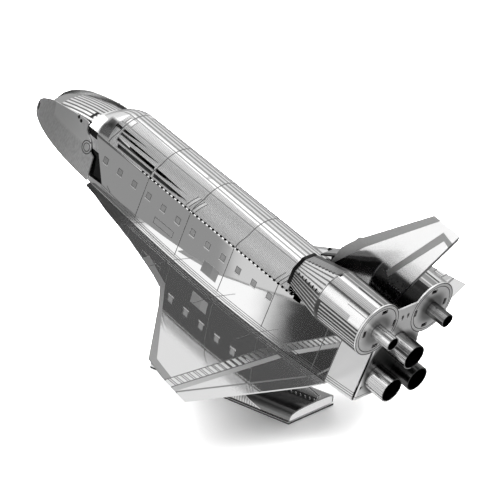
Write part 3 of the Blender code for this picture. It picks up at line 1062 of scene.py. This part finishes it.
def nose_finish(steel):
    """Matt etched nose plate with a grainy lower part, small marks and a round port."""
    finish = Finish("etched_nose_plate")
    y, z = finish.y, finish.z
    grain = finish.noise(3.2, (1.0, 1.0, 0.5))
    smooth = z.ramp(3.9, 4.5) * left_of(y, z, (-69.2, 4.2), (-69.8, 6.2)).ramp(0.1, -0.1)
    reach = distance(y, z, (-60.2, 4.1))
    ring = reach.near(0.98, 0.16).either(reach.near(0.62, 0.14))
    disc = reach.below(0.52)
    slot = box_mask(y, z, (-74.5, 1.75, -73.9, 2.95))
    spots = [
        distance(y, z, middle).below(radius)
        for middle, radius in (((-63.9, 7.05), 0.26), ((-63.2, 6.80), 0.28))
    ]
    hatch = y.every(-75.0, 0.34, 0.12) * z.below(1.7)
    coats = (
        (smooth, 0.84, 0.40),
        (hatch, steel.etched + 0.30, 0.45),
        (disc, 0.90, 0.34),
        (ring, steel.line, 0.40),
        (slot.either(*spots), 0.03, 0.5),
    )
    finish.lay(grain * 0.36 + (steel.etched + 0.05), 0.46, coats, haze=0.08, haze_scale=4.0)
    finish.emboss(grain, 0.008)
    finish.engrave(ring.either(slot, *spots), 0.05)
    return finish.material


def tab_finish(steel):
    """Shaded inner tab of the nose, with a painted highlight on the band of its upper end that is
    folded back on the real tab.
    """
    finish = Finish("shaded_joint_sheet")
    # Painted highlight: a band of the upper end is painted bright.
    folded = finish.z.between(4.3, 5.9)
    finish.lay(steel.dark + 0.03, 0.25, ((folded, 0.80, 0.40),), haze=0.03)
    finish.handle()
    return finish.material


def nose_top_finish(steel):
    """Nose top sheet: a matt front, stripes along it and a bright band at the rear."""
    finish = Finish("striped_nose_sheet")
    x, y = finish.x, finish.y
    stripes = x.every(0.0, 0.72, 0.30)
    slot = box_mask(x, y, (1.4, -63.0, 3.0, -62.4))
    coats = (
        (stripes, steel.line, 0.30),
        (y.below(-69.4), steel.etched, 0.45),
        (y.above(-62.1), 0.96, 0.25),
        (slot, 0.03, 0.4),
    )
    finish.lay(0.93, 0.16, coats)
    finish.engrave(stripes, 0.02)
    return finish.material


def tail_finish(steel):
    """Bright tail plate with an etched leading band, a rudder outline and a painted sheen over its
    upper part.
    """
    finish = Finish("polished_tail_plate")
    y, z = finish.y, finish.z
    lead = right_of_all(y, z, ((-12.8, 14.0), (-9.5, 18.3), (0.7, 29.5))).off()
    outer = right_of_all(y, z, ((-3.9, 16.0), (-4.9, 17.4), (1.9, 28.5), (3.9, 27.9)))
    inner = right_of_all(y, z, ((-3.6, 18.0), (2.4, 27.4), (3.5, 26.9)))
    inner = inner.either(z.below(17.6) * y.above(-3.8))
    etched = (outer * z.above(15.9) * inner.off()).either(lead)
    dots = z.near(15.95, 0.22) * y.every(-3.8, 0.42, 0.2) * y.between(-4.0, -1.2)
    edge = left_of(y, z, TAIL[-1], TAIL[-2]).near(0.10, 0.28)
    grain = finish.noise(3.0) * 0.10 + (steel.etched + 0.08)
    # Painted sheen: from about 18 mm up the plate is painted lighter and made less metallic.
    satin = z.ramp(17.9, 18.9)
    coats = (
        (satin, 1.0, 0.20),
        (etched, grain, 0.42),
        (dots, 0.9, 0.3),
        (edge, steel.line, 0.3),
    )
    finish.lay(steel.polished, 0.09, coats)
    finish.drive("Metallic", satin * etched.off() * -0.18 + 1.0)
    finish.handle(0.004)
    finish.engrave(etched, 0.02)
    return finish.material


def plate_finish(steel):
    """Rear bulkhead: satin steel with etched rings round the pod ends, with painted shade and
    reflection round the pod nozzles and between the main nozzles.
    """
    finish = Finish("satin_rear_plate")
    reach = distance(finish.out, finish.z, (POD_X, POD_Z))
    ring = reach.near(3.50, 0.13).either(reach.near(3.98, 0.14))
    foot = finish.z.near(0.75, 0.10)
    # Painted shade and reflection: dark between the main nozzles, and dark round each pod nozzle,
    # darker to starboard.
    between = distance(finish.out, finish.z, (0.0, 5.0)).ramp(5.9, 4.7)
    coats = (
        (reach.ramp(3.2, 1.6), finish.x.above(0.0) * 0.12 + 0.24, 0.30),
        (between, 0.10, 0.30),
        (ring.either(foot), steel.line, 0.35),
    )
    finish.lay(0.96, 0.34, coats, haze=0.06)
    finish.engrave(ring, 0.03)
    return finish.material


def pod_finish(steel):
    """Rolled pod sheet: bright crown and flank bands, striped below, with painted glints and painted
    shade and reflection on its inboard side and underside.
    """
    finish = Finish("lined_pod_sheet")
    y = finish.y
    turn = finish.around(finish.out, POD_X, POD_Z)
    inboard = turn.below(-23.0).either(turn.above(150.0))
    upper = turn.between(-23.0, 6.0)
    notch = box_mask(y, turn, (-8.0, 4.0, -7.5, 13.0))
    glints = any_near(turn, (-15.5, -1.0), 3.2)
    crown = turn.between(15.0, 32.0)
    crown_lines = turn.every(15.0, 3.4, 1.4) * crown
    dark = turn.between(33.5, 37.5)
    soft = turn.between(60.0, 73.0) * y.below(-2.2)
    soft_lines = turn.every(60.0, 3.4, 1.4) * soft
    low = turn.between(73.0, 150.0)
    stripes = turn.every(78.2, 7.8, 3.2) * turn.between(76.0, 121.0) * y.above(-7.2)
    # Painted light: the glints are painted highlights; the dark inboard side, the dark underside and
    # the dark bands are painted shade and reflection.
    coats = (
        (inboard, steel.dark + 0.02, 0.25),
        (upper, 0.32, 0.45),
        (glints, 0.66, 0.40),
        (turn.between(2.5, 6.0) * y.above(-4.5), 0.08, 0.35),
        (notch, steel.dark, 0.40),
        (crown, 0.60, 0.40),
        (crown_lines, 0.36, 0.40),
        (dark, 0.16, 0.36),
        (turn.near(45.5, 1.8) * y.above(-3.6), 0.42, 0.25),
        (soft, 0.72, 0.40),
        (soft_lines, 0.50, 0.40),
        (low, 0.10, 0.34),
        (stripes, 0.74, 0.40),
        (y.near(POD_FRONT_Y + 0.12, 0.12), steel.line, 0.35),
    )
    finish.lay(steel.polished, 0.16, coats, haze=0.05)
    finish.emboss(stripes + glints - crown_lines - soft_lines, 0.015)
    return finish.material


def fairing_finish(steel):
    """Fairing facets with stripes that run from the collar to the pod."""
    finish = Finish("lined_fairing_sheet")
    _, row = finish.stations()
    top, middle, low = row.below(1.0), row.between(1.0, 2.0), row.above(2.0)
    grooves = row.every(1.21, 0.20, 0.075) * middle
    fine = row.every(0.1, 0.16, 0.05) * top
    dark = row.every(2.085, 0.165, 0.115) * low
    coats = (
        (top, 0.46, 0.36),
        (fine, 0.28, 0.36),
        (row.below(0.32), steel.dark + 0.04, 0.30),
        (grooves, 0.24, 0.36),
        (low, 0.60, 0.36),
        (dark, 0.03, 0.30),
    )
    finish.lay(0.93, 0.16, coats)
    finish.engrave(grooves.either(dark), 0.02)
    return finish.material


def nozzle_painted_light(name, x, z, bands):
    """Rolled nozzle sheet: bands of painted light, shade and reflection around it, with fine streaks
    along it.
    """
    finish = Finish("striped_" + name)
    streak = finish.noise(1.9, (1.0, 0.015, 1.0))
    fine = finish.noise(5.5, (1.0, 0.01, 1.0), detail=1.0)
    # The level paints light, shade and reflection round the nozzle by degrees from its crown.
    level = finish.around(finish.x, x, z).table(bands) * streak.ramp(0.40, 0.50).choose(1.0, 0.70)
    finish.lay(level, 0.18, ((fine.above(0.62), 0.12, 0.22),), haze=0.05)
    finish.emboss(streak, 0.02)
    return finish.material


def stand_finish(steel):
    """Dark mirror sheet of the stand, with a row of painted bright points along its fold where light
    shows through its bend holes, a painted reflection on the front of the arch, and painted shade at
    its foot.
    """
    finish = Finish("polished_stand_sheet", on_stand=True)
    y, z = finish.y, finish.z
    # Painted light: bright points where light shows through the bend holes.
    points = z.between(2.74, 2.92) * y.every(0.0, 0.93, 0.26) * y.below(15.9)
    cloud = finish.noise(0.9) * 0.06 + 0.20
    # Painted reflection: the front of the arch is painted light and hatched as the wing's etched
    # underside seen in it, with a painted highlight along its edge.
    slope, slope_end = y + z * 3.3, 11.0
    arch = z.below(2.5)
    front = slope.below(slope_end) * arch
    coats = (
        (front, 0.72, 0.36),
        (front * y.every(0.0, 0.52, 0.22), 0.40, 0.36),
        (slope.near(slope_end, 0.36) * arch, 0.95, 0.36),
        # Painted shade along the foot of the arch.
        (z.below(0.60), steel.dark + 0.03, 0.30),
        (points, 1.0, 0.60),
        (z.above(3.2), 0.50, 0.25),
    )
    finish.lay(cloud, 0.16, coats, haze=0.03)
    finish.handle()
    return finish.material


def base_finish(steel):
    """Satin base plate with its cut edges painted dark, a painted shade."""
    finish = Finish("satin_base_sheet", on_stand=True)
    cloud = finish.noise(0.9) * 0.06 + 0.82
    # Painted shade: the side faces below 0.26 mm are painted dark.
    finish.lay(cloud, 0.30, ((finish.z.below(0.26), steel.dark + 0.03, 0.5),), haze=0.03)
    finish.handle()
    return finish.material


def plain_finish(name, level, roughness, on_stand=False):
    """Unpatterned sheet with its haze and a slight waver."""
    finish = Finish(name, on_stand=on_stand)
    cloud = finish.noise(0.9) * 0.06 + (level - 0.03)
    finish.lay(cloud.either(0.004), roughness, haze=0.03)
    finish.handle()
    return finish.material


# Operators


class STEELCRAFT_OT_stage(bpy.types.Operator):
    """Add the camera, pale floor, soft lights and reflected card"""

    bl_idname = "steelcraft.stage"
    bl_label = "Stage"

    def execute(self, context):
        self.camera(context.scene)
        self.world(context.scene)
        self.floor(context.scene.steel_stage)
        self.card()
        self.lights(context.scene)
        context.scene.view_settings.view_transform = "Standard"
        return {"FINISHED"}

    def camera(self, scene):
        data = bpy.data.cameras.new("photo_camera")
        data.lens = scene.steel_stage.lens
        data.sensor_width = 36.0
        data.clip_start = 0.01
        camera = bpy.data.objects.new("photo_camera", data)
        camera.location = scene.steel_stage.camera_place
        camera.rotation_euler = scene.steel_stage.camera_turn
        scene.collection.objects.link(camera)
        scene.camera = camera

    def world(self, scene):
        """White to the camera; bands of light and shade to the steel."""
        scene.world = bpy.data.worlds.new("studio")
        scene.world.use_nodes = True
        tree = scene.world.node_tree
        ground = tree.nodes["Background"]
        seen = Field(tree, tree.nodes.new("ShaderNodeLightPath").outputs["Is Camera Ray"])
        x, y, z = coordinates(tree, "Generated")
        starboard = z.ramp(-0.05, 0.35) * 0.36 + 0.42
        ceiling = z.ramp(0.62, 0.80) * x.ramp(0.16, 0.08) * x.ramp(-0.50, -0.42) * 0.55
        port = x.ramp(0.06, 0.16) * z.ramp(0.30, 0.80) * -0.30
        ahead = y.ramp(-0.45, -0.60) * x.ramp(-0.10, 0.15) * z.ramp(0.50, 0.36) * -0.34
        level = (starboard + ceiling + port + ahead) * seen.off() + seen
        tree.links.new(level.socket, ground.inputs["Strength"])
        ground.inputs["Color"].default_value = (1.0, 1.0, 1.0, 1.0)

    def floor(self, stage):
        """Pale floor: white to the camera with a soft shadow; to the steel it glows, darker far off,
        with a painted shadow aft and to starboard of the model.
        """
        material = bpy.data.materials.new("pale_floor")
        material.use_nodes = True
        tree = material.node_tree
        shader = tree.nodes["Principled BSDF"]
        shader.inputs["Base Color"].default_value = (*stage.floor_colour, 1.0)
        shader.inputs["Roughness"].default_value = 0.9
        shader.inputs["Specular IOR Level"].default_value = 0.0
        x, y, _ = coordinates(tree)
        shade = x.ramp(0.010, -0.010) * y.ramp(0.015, 0.030) * -0.42
        level = distance(x, y, (0.0, 0.0)).ramp(0.095, 0.078) * 0.52 + 0.26 + shade
        seen = tree.nodes.new("ShaderNodeLightPath")
        mix = tree.nodes.new("ShaderNodeMixShader")
        tree.links.new(seen.outputs["Is Camera Ray"], mix.inputs[0])
        tree.links.new(glow(tree, level), mix.inputs[1])
        tree.links.new(shader.outputs[0], mix.inputs[2])
        tree.links.new(mix.outputs[0], tree.nodes["Material Output"].inputs["Surface"])
        bm = bmesh.new()
        bmesh.ops.create_grid(bm, x_segments=1, y_segments=1, size=FLOOR_HALF)
        floor = add_mesh("floor", bm, (material,))
        floor.location.z = -FLOOR_DROP

    def card(self):
        """Card to port, hidden from the camera, that only the steel reflects."""
        material = bpy.data.materials.new("port_card")
        material.use_nodes = True
        tree = material.node_tree
        tree.nodes.remove(tree.nodes["Principled BSDF"])
        y, z = (axis * 1000.0 for axis in coordinates(tree)[1:])
        window = y.ramp(-76.0, -66.0) * z.ramp(24.0, 42.0) * z.ramp(132.0, 122.0)
        rear_window = y.ramp(-26.0, -18.0) * z.ramp(50.0, 78.0) * z.ramp(206.0, 190.0)
        dip = y.ramp(-36.0, -28.0) * y.ramp(-12.0, -18.0) * z.ramp(50.0, 60.0) * z.ramp(104.0, 96.0)
        low = z.ramp(34.0, 22.0) * (y.ramp(-71.0, -65.0) * 0.36 + 0.20)
        level = (window.either(rear_window) + low + 0.09) * (dip * -0.96 + 1.0)
        tree.links.new(glow(tree, level), tree.nodes["Material Output"].inputs["Surface"])
        bm = bmesh.new()
        bmesh.ops.create_grid(bm, x_segments=1, y_segments=1, size=0.5)
        bmesh.ops.scale(bm, verts=bm.verts, vec=CARD_SIZE)
        bmesh.ops.rotate(bm, verts=bm.verts, matrix=Matrix.Rotation(math.radians(90.0), 3, "Y"))
        bmesh.ops.translate(bm, verts=bm.verts, vec=CARD_PLACE)
        card = add_mesh("port_card", bm, (material,))
        card.visible_camera = False
        card.visible_shadow = False

    def lights(self, scene):
        for name, place, size, power in LIGHTS:
            data = bpy.data.lights.new(name, "AREA")
            data.shape = "DISK"
            data.size = size
            data.energy = power
            light = bpy.data.objects.new(name, data)
            light.location = place
            light.rotation_euler = (-Vector(place)).to_track_quat("-Z", "Y").to_euler()
            light.visible_glossy = False
            scene.collection.objects.link(light)


class STEELCRAFT_OT_side_panels(bpy.types.Operator):
    """Make the fuselage side sheets, rolled over at a row of open bend holes"""

    bl_idname = "steelcraft.side_panels"
    bl_label = "Side panels"

    def execute(self, context):
        sheet = context.scene.steel_sheet
        half_hole = sheet.hole_length / MM / 2.0
        holes = [HOLE_FIRST_Y + HOLE_STEP * k for k in range(sheet.hole_count)]
        columns = spread(PANEL_FRONT_Y, PANEL_SQUARE_Y, 8)
        for middle in holes:
            columns += [middle - half_hole, middle + half_hole]
        columns += [PANEL_STEP_Y, *PANEL_NOTCH_Y, *spread(PANEL_AFT_Y, PANEL_REAR_Y, 10)]

        def opening(y, up):
            if y > holes[-1] + half_hole:
                in_notch = PANEL_NOTCH_Y[0] < y < PANEL_NOTCH_Y[1]
                return up > 1.0 or (up > PANEL_NOTCH_ROW and in_notch)
            in_hole = any(abs(y - middle) < half_hole for middle in holes)
            return HOLE_ROWS[0] < up < HOLE_ROWS[1] and in_hole

        finish = panel_finish(context.scene.steel_finish)
        for word, side in SIDES:
            name = "side_panel_" + word
            bm = station_grid(
                columns, PANEL_ROWS + BEND_ROWS, lambda y, up: panel_point(side, y, up), opening
            )
            add_piece(name + "_sheet", bm, (finish,), (side, 0.0, 0.0), name)
        return {"FINISHED"}


class STEELCRAFT_OT_roof(bpy.types.Operator):
    """Make the rounded, lined roof sheet with its tapering slots, and the folds under them"""

    bl_idname = "steelcraft.roof"
    bl_label = "Roof"

    def execute(self, context):
        steel = context.scene.steel_finish
        columns = [ROOF_FRONT_Y - ROOF_LIP_STEP]
        for run in ROOF_RUNS:
            columns += spread(*run)
        for upper, _ in ROOF_SLOTS:
            columns += [upper[0][0], upper[-1][0]]
        for bar in ROOF_BARS_Y:
            columns += [bar - ROOF_BAR_WIDTH / 2.0, bar + ROOF_BAR_WIDTH / 2.0]
        lanes = [lane + k / count for lane, count in enumerate(ROOF_LANE_STEPS) for k in range(count)]
        lanes.append(float(len(ROOF_LANE_STEPS)))
        rows = [-lane for lane in reversed(lanes[1:])] + lanes
        bm = station_grid(
            sorted(columns), rows, lambda y, lane: roof_point(y, lane_degrees(y, lane)), in_roof_slot
        )
        lining = plain_finish("shaded_roof_lining", steel.dark + 0.05, 0.4)
        materials = (roof_finish(steel), lining)
        add_piece("bay_roof_sheet", bm, materials, UP, "bay_roof")
        self.folds(plain_finish("shaded_fold_sheet", steel.dark + 0.17, 0.3))
        return {"FINISHED"}

    def folds(self, finish):
        """Inward folds of the side sheets, seen through the slots."""
        columns = spread(FOLD_WIDTHS[0][0], FOLD_WIDTHS[-1][0], 12)
        for word, side in SIDES:
            name = "side_fold_" + word
            bm = station_grid(
                columns, spread(0.0, 1.0, 3), lambda y, across: fold_point(side, y, across)
            )
            add_piece(name + "_sheet", bm, (finish,), UP, name, THIN_SHEET)


class STEELCRAFT_OT_nose(bpy.types.Operator):
    """Make the etched nose plates, the striped top sheet between them and their tabs"""

    bl_idname = "steelcraft.nose"
    bl_label = "Nose"

    def execute(self, context):
        steel = context.scene.steel_finish
        self.sides((nose_finish(steel), plain_finish("polished_nose_lining", 0.93, 0.14)))
        self.tabs(tab_finish(steel))
        columns = spread(NOSE_CROWN[0][0], NOSE_CROWN[-1][0], 36)
        bm = station_grid(columns, spread(-1.0, 1.0, 28), nose_top_point)
        add_piece("nose_top_sheet", bm, (nose_top_finish(steel),), UP, "nose_top")
        return {"FINISHED"}

    def sides(self, materials):
        """Side plates, cut into strips that grow narrower towards the nose tip."""
        foot = spread(NOSE_PLATE_REAR_Y, NOSE_UPPER[0][0], 12)
        points = [(y, belly_z(y) + JOINT_GAP) for y in foot] + list(NOSE_UPPER)
        length = NOSE_STRAIGHT_Y - NOSE_FRONT_Y
        cuts = [NOSE_FRONT_Y + length * (k / NOSE_CUTS) ** 1.5 for k in range(1, NOSE_CUTS)]
        for word, side in SIDES:
            name = "nose_side_" + word
            bm = outline_sheet(points, lambda y, z: nose_point(side, y, z), cuts)
            add_piece(name + "_sheet", bm, materials, (side, 0.0, 0.0), name)

    def tabs(self, finish):
        """Inner tabs that carry the nose plates and close the joint behind them."""
        for word, side in SIDES:
            bm = station_grid(
                spread(*TAB_Y, 8), spread(0.0, 1.0, 4), lambda y, up: tab_point(side, y, up)
            )
            add_piece(
                "nose_joint_" + word, bm, (finish,), (side, 0.0, 0.0),
                thickness=THIN_SHEET,
            )


class STEELCRAFT_OT_wings(bpy.types.Operator):
    """Make the one sheet of belly and wings"""

    bl_idname = "steelcraft.wings"
    bl_label = "Belly and wings"

    def execute(self, context):
        finish = wing_finish(context.scene.steel_finish)
        half = [
            (nose_half(y) - BELLY_RIM, max(y, NOSE_FRONT_Y + BELLY_RIM))
            for y in spread(NOSE_FRONT_Y, BELLY_NOSE_REAR_Y, 12)
        ]
        points = mirrored([*half, *WING_HALF])
        folds = (-BODY_HALF_FOOT, BODY_HALF_FOOT)
        bm = outline_sheet(points, wing_point, folds, spread(*BELLY_CUTS_Y, 74))
        name = "belly_and_wings"
        add_piece(name + "_sheet", bm, (finish,), UP, name, sharp=3.0)
        return {"FINISHED"}


class STEELCRAFT_OT_tail(bpy.types.Operator):
    """Make the tail plate and the rear bulkhead with its tab slots"""

    bl_idname = "steelcraft.tail"
    bl_label = "Tail and rear plate"

    def execute(self, context):
        steel = context.scene.steel_finish
        bm = outline_sheet(TAIL, lambda y, z: Vector((PLATE_SHEET / 2.0, y, z)))
        add_piece(
            "tail_plate_sheet", bm, (tail_finish(steel),), (1.0, 0.0, 0.0),
            "tail_plate", PLATE_SHEET,
        )
        self.rear_plate(plate_finish(steel))
        return {"FINISHED"}

    def rear_plate(self, finish):
        """Rear bulkhead, pierced by its tab slots."""
        round_head = (pod_point(1.0, 0.0, degrees) for degrees in spread(*PLATE_ROUND, 72))
        points = mirrored([*PLATE_HALF, *((point.x, point.z) for point in round_head)])
        cuts_across, cuts_up = set(), set()
        for x, z, wide, high in PLATE_SLOTS:
            cuts_across |= {x - wide, x + wide, wide - x, -wide - x}
            cuts_up |= {z - high, z + high}

        def place(x, z):
            return Vector((x, PLATE_SHEET, z))

        def opening(x, z):
            return any(
                abs(abs(x) - slot_x) < wide and abs(z - slot_z) < high
                for slot_x, slot_z, wide, high in PLATE_SLOTS
            )

        bm = outline_sheet(points, place, sorted(cuts_across), sorted(cuts_up), opening)
        add_piece(
            "rear_plate_sheet", bm, (finish,), (0.0, 1.0, 0.0),
            "rear_plate", PLATE_SHEET,
        )


class STEELCRAFT_OT_pods(bpy.types.Operator):
    """Make the rolled engine pods, their folded fairings and the dark collars ahead of them"""

    bl_idname = "steelcraft.pods"
    bl_label = "Engine pods"

    def execute(self, context):
        steel = context.scene.steel_finish
        shell, facets = pod_finish(steel), fairing_finish(steel)
        lining = plain_finish("shaded_inner_sheet", steel.dark + 0.02, 0.3)
        # The collars are painted near black, a painted shade.
        collar = plain_finish("painted_shade_collar", steel.dark + 0.01, 0.3)
        columns, rows = spread(POD_FRONT_Y, POD_REAR_Y, 8), spread(*POD_DEGREES, 120)
        for word, side in SIDES:
            name = "pod_shell_" + word
            bm = station_grid(columns, rows, lambda y, degrees: pod_point(side, y, degrees))
            face_from_axis(bm, side * POD_X, POD_Z)
            add_piece(name + "_sheet", bm, (shell, lining), replaces=name)
            self.fairing(word, side, (facets, lining))
            self.collar(word, side, collar)
        return {"FINISHED"}

    def fairing(self, word, side, materials):
        """Three flat facets between two rows of bend holes."""
        half_share, half_row = FAIRING_HOLE_HALF
        first, last = FAIRING_HOLE_RUN
        shares, rows = {0.0, 1.0}, set(spread(0.0, 3.0, 12))
        holes = []
        for corner, count in FAIRING_HOLES:
            rows |= {corner - half_row, corner + half_row}
            for k in range(count):
                middle = first + (last - first) * (k + 0.5) / count
                shares |= {middle - half_share, middle + half_share}
                holes.append((middle, corner))

        def opening(share, row):
            return any(
                abs(share - middle) < half_share and abs(row - corner) < half_row
                for middle, corner in holes
            )

        name = "pod_fairing_" + word
        bm = station_grid(
            sorted(shares), sorted(rows), lambda share, row: fairing_point(side, share, row), opening
        )
        add_piece(name + "_sheet", bm, materials, (side, 0.0, 1.0), name, sharp=12.0)

    def collar(self, word, side, finish):
        """Strip, painted near black as shade, that carries the facets on to the front end of a fairing.
        """
        def place(ahead, row):
            return fairing_point(side, 0.0, row) - Vector((0.0, ahead, 0.0))

        corners = [0.0, 1.0, 2.0, 3.0] if side > 0.0 else [1.0, 2.0, 3.0]
        bm = station_grid([COLLAR_GAP, COLLAR_LENGTH], corners, place)
        add_piece(
            "pod_collar_" + word, bm, (finish,), (side, 0.0, 1.0),
            thickness=COLLAR_SHEET, sharp=12.0,
        )


class STEELCRAFT_OT_nozzles(bpy.types.Operator):
    """Roll the five nozzles, dark inside"""

    bl_idname = "steelcraft.nozzles"
    bl_label = "Nozzles"

    def execute(self, context):
        bore = plain_finish("shaded_nozzle_bore", context.scene.steel_finish.dark, 0.4)
        for name, x, z, radius, rear, bands in NOZZLES:
            bm = bmesh.new()
            length = rear - NOZZLE_FRONT_Y
            bmesh.ops.create_cone(
                bm, cap_ends=False, segments=96, radius1=radius, radius2=radius, depth=length
            )
            turn = Matrix.Rotation(math.radians(-90.0), 4, "X")
            bm.transform(Matrix.Translation((x, NOZZLE_FRONT_Y + length / 2.0, z)) @ turn)
            face_from_axis(bm, x, z)
            materials = (nozzle_painted_light(name, x, z, bands), bore)
            add_piece(
                name + "_tube", bm, materials, replaces=name, thickness=NOZZLE_SHEET
            )
        return {"FINISHED"}


class STEELCRAFT_OT_stand(bpy.types.Operator):
    """Make the stand's arch, ribs and end plate, and dress its base plate"""

    bl_idname = "steelcraft.stand"
    bl_label = "Stand"

    def execute(self, context):
        steel = context.scene.steel_finish
        finish = stand_finish(steel)
        dress_node("stand_base", base_finish(steel))
        self.end(plain_finish("satin_end_sheet", 0.98, 0.60, on_stand=True))
        columns = [y for y, _ in (*RIB_FRONT, *RIB_REAR)]
        columns += spread(*RIB_SADDLE_Y, 10) + spread(*ARCH_AFT_RUN)
        rows = [*spread(0.02, 0.98, 24), *RIB_ROWS]
        for word, side in SIDES:
            name = "stand_side_" + word
            bm = station_grid(sorted(columns), rows, lambda y, up: stand_point(side, y, up))
            facing = (side, 0.0, 0.6)
            add_piece(name + "_sheet", bm, (finish,), facing, name, place=STAND)
        return {"FINISHED"}

    def end(self, finish):
        """Bright plate that closes the rear end of the arch."""
        bm = station_grid(spread(-1.0, 1.0, 8), spread(0.0, 0.999, 16), end_point)
        add_piece(
            "stand_end_plate", bm, (finish,), (0.0, 1.0, 0.0),
            thickness=THIN_SHEET, place=STAND,
        )


class STEELCRAFT_PT_panel(bpy.types.Panel):
    """Steps that dress the model"""

    bl_idname = "STEELCRAFT_PT_panel"
    bl_label = "Steel Craft"
    bl_space_type = "VIEW_3D"
    bl_region_type = "UI"
    bl_category = "Steel Craft"

    def draw(self, context):
        for operator in OPERATORS:
            self.layout.operator(operator.bl_idname)


SETTINGS = (SheetSettings, FinishSettings, StageSettings)
OPERATORS = (
    STEELCRAFT_OT_stage,
    STEELCRAFT_OT_side_panels,
    STEELCRAFT_OT_roof,
    STEELCRAFT_OT_nose,
    STEELCRAFT_OT_wings,
    STEELCRAFT_OT_tail,
    STEELCRAFT_OT_pods,
    STEELCRAFT_OT_nozzles,
    STEELCRAFT_OT_stand,
)


def register():
    for item in (*SETTINGS, *OPERATORS, STEELCRAFT_PT_panel):
        bpy.utils.register_class(item)
    bpy.types.Scene.steel_sheet = bpy.props.PointerProperty(type=SheetSettings)
    bpy.types.Scene.steel_finish = bpy.props.PointerProperty(type=FinishSettings)
    bpy.types.Scene.steel_stage = bpy.props.PointerProperty(type=StageSettings)


def unregister():
    del bpy.types.Scene.steel_stage
    del bpy.types.Scene.steel_finish
    del bpy.types.Scene.steel_sheet
    for item in reversed((*SETTINGS, *OPERATORS, STEELCRAFT_PT_panel)):
        bpy.utils.unregister_class(item)


def main():
    """Dress the model step by step."""
    register()
    bpy.ops.steelcraft.stage()
    bpy.ops.steelcraft.side_panels()
    bpy.ops.steelcraft.roof()
    bpy.ops.steelcraft.nose()
    bpy.ops.steelcraft.wings()
    bpy.ops.steelcraft.tail()
    bpy.ops.steelcraft.pods()
    bpy.ops.steelcraft.nozzles()
    bpy.ops.steelcraft.stand()


if __name__ == "__main__":
    main()
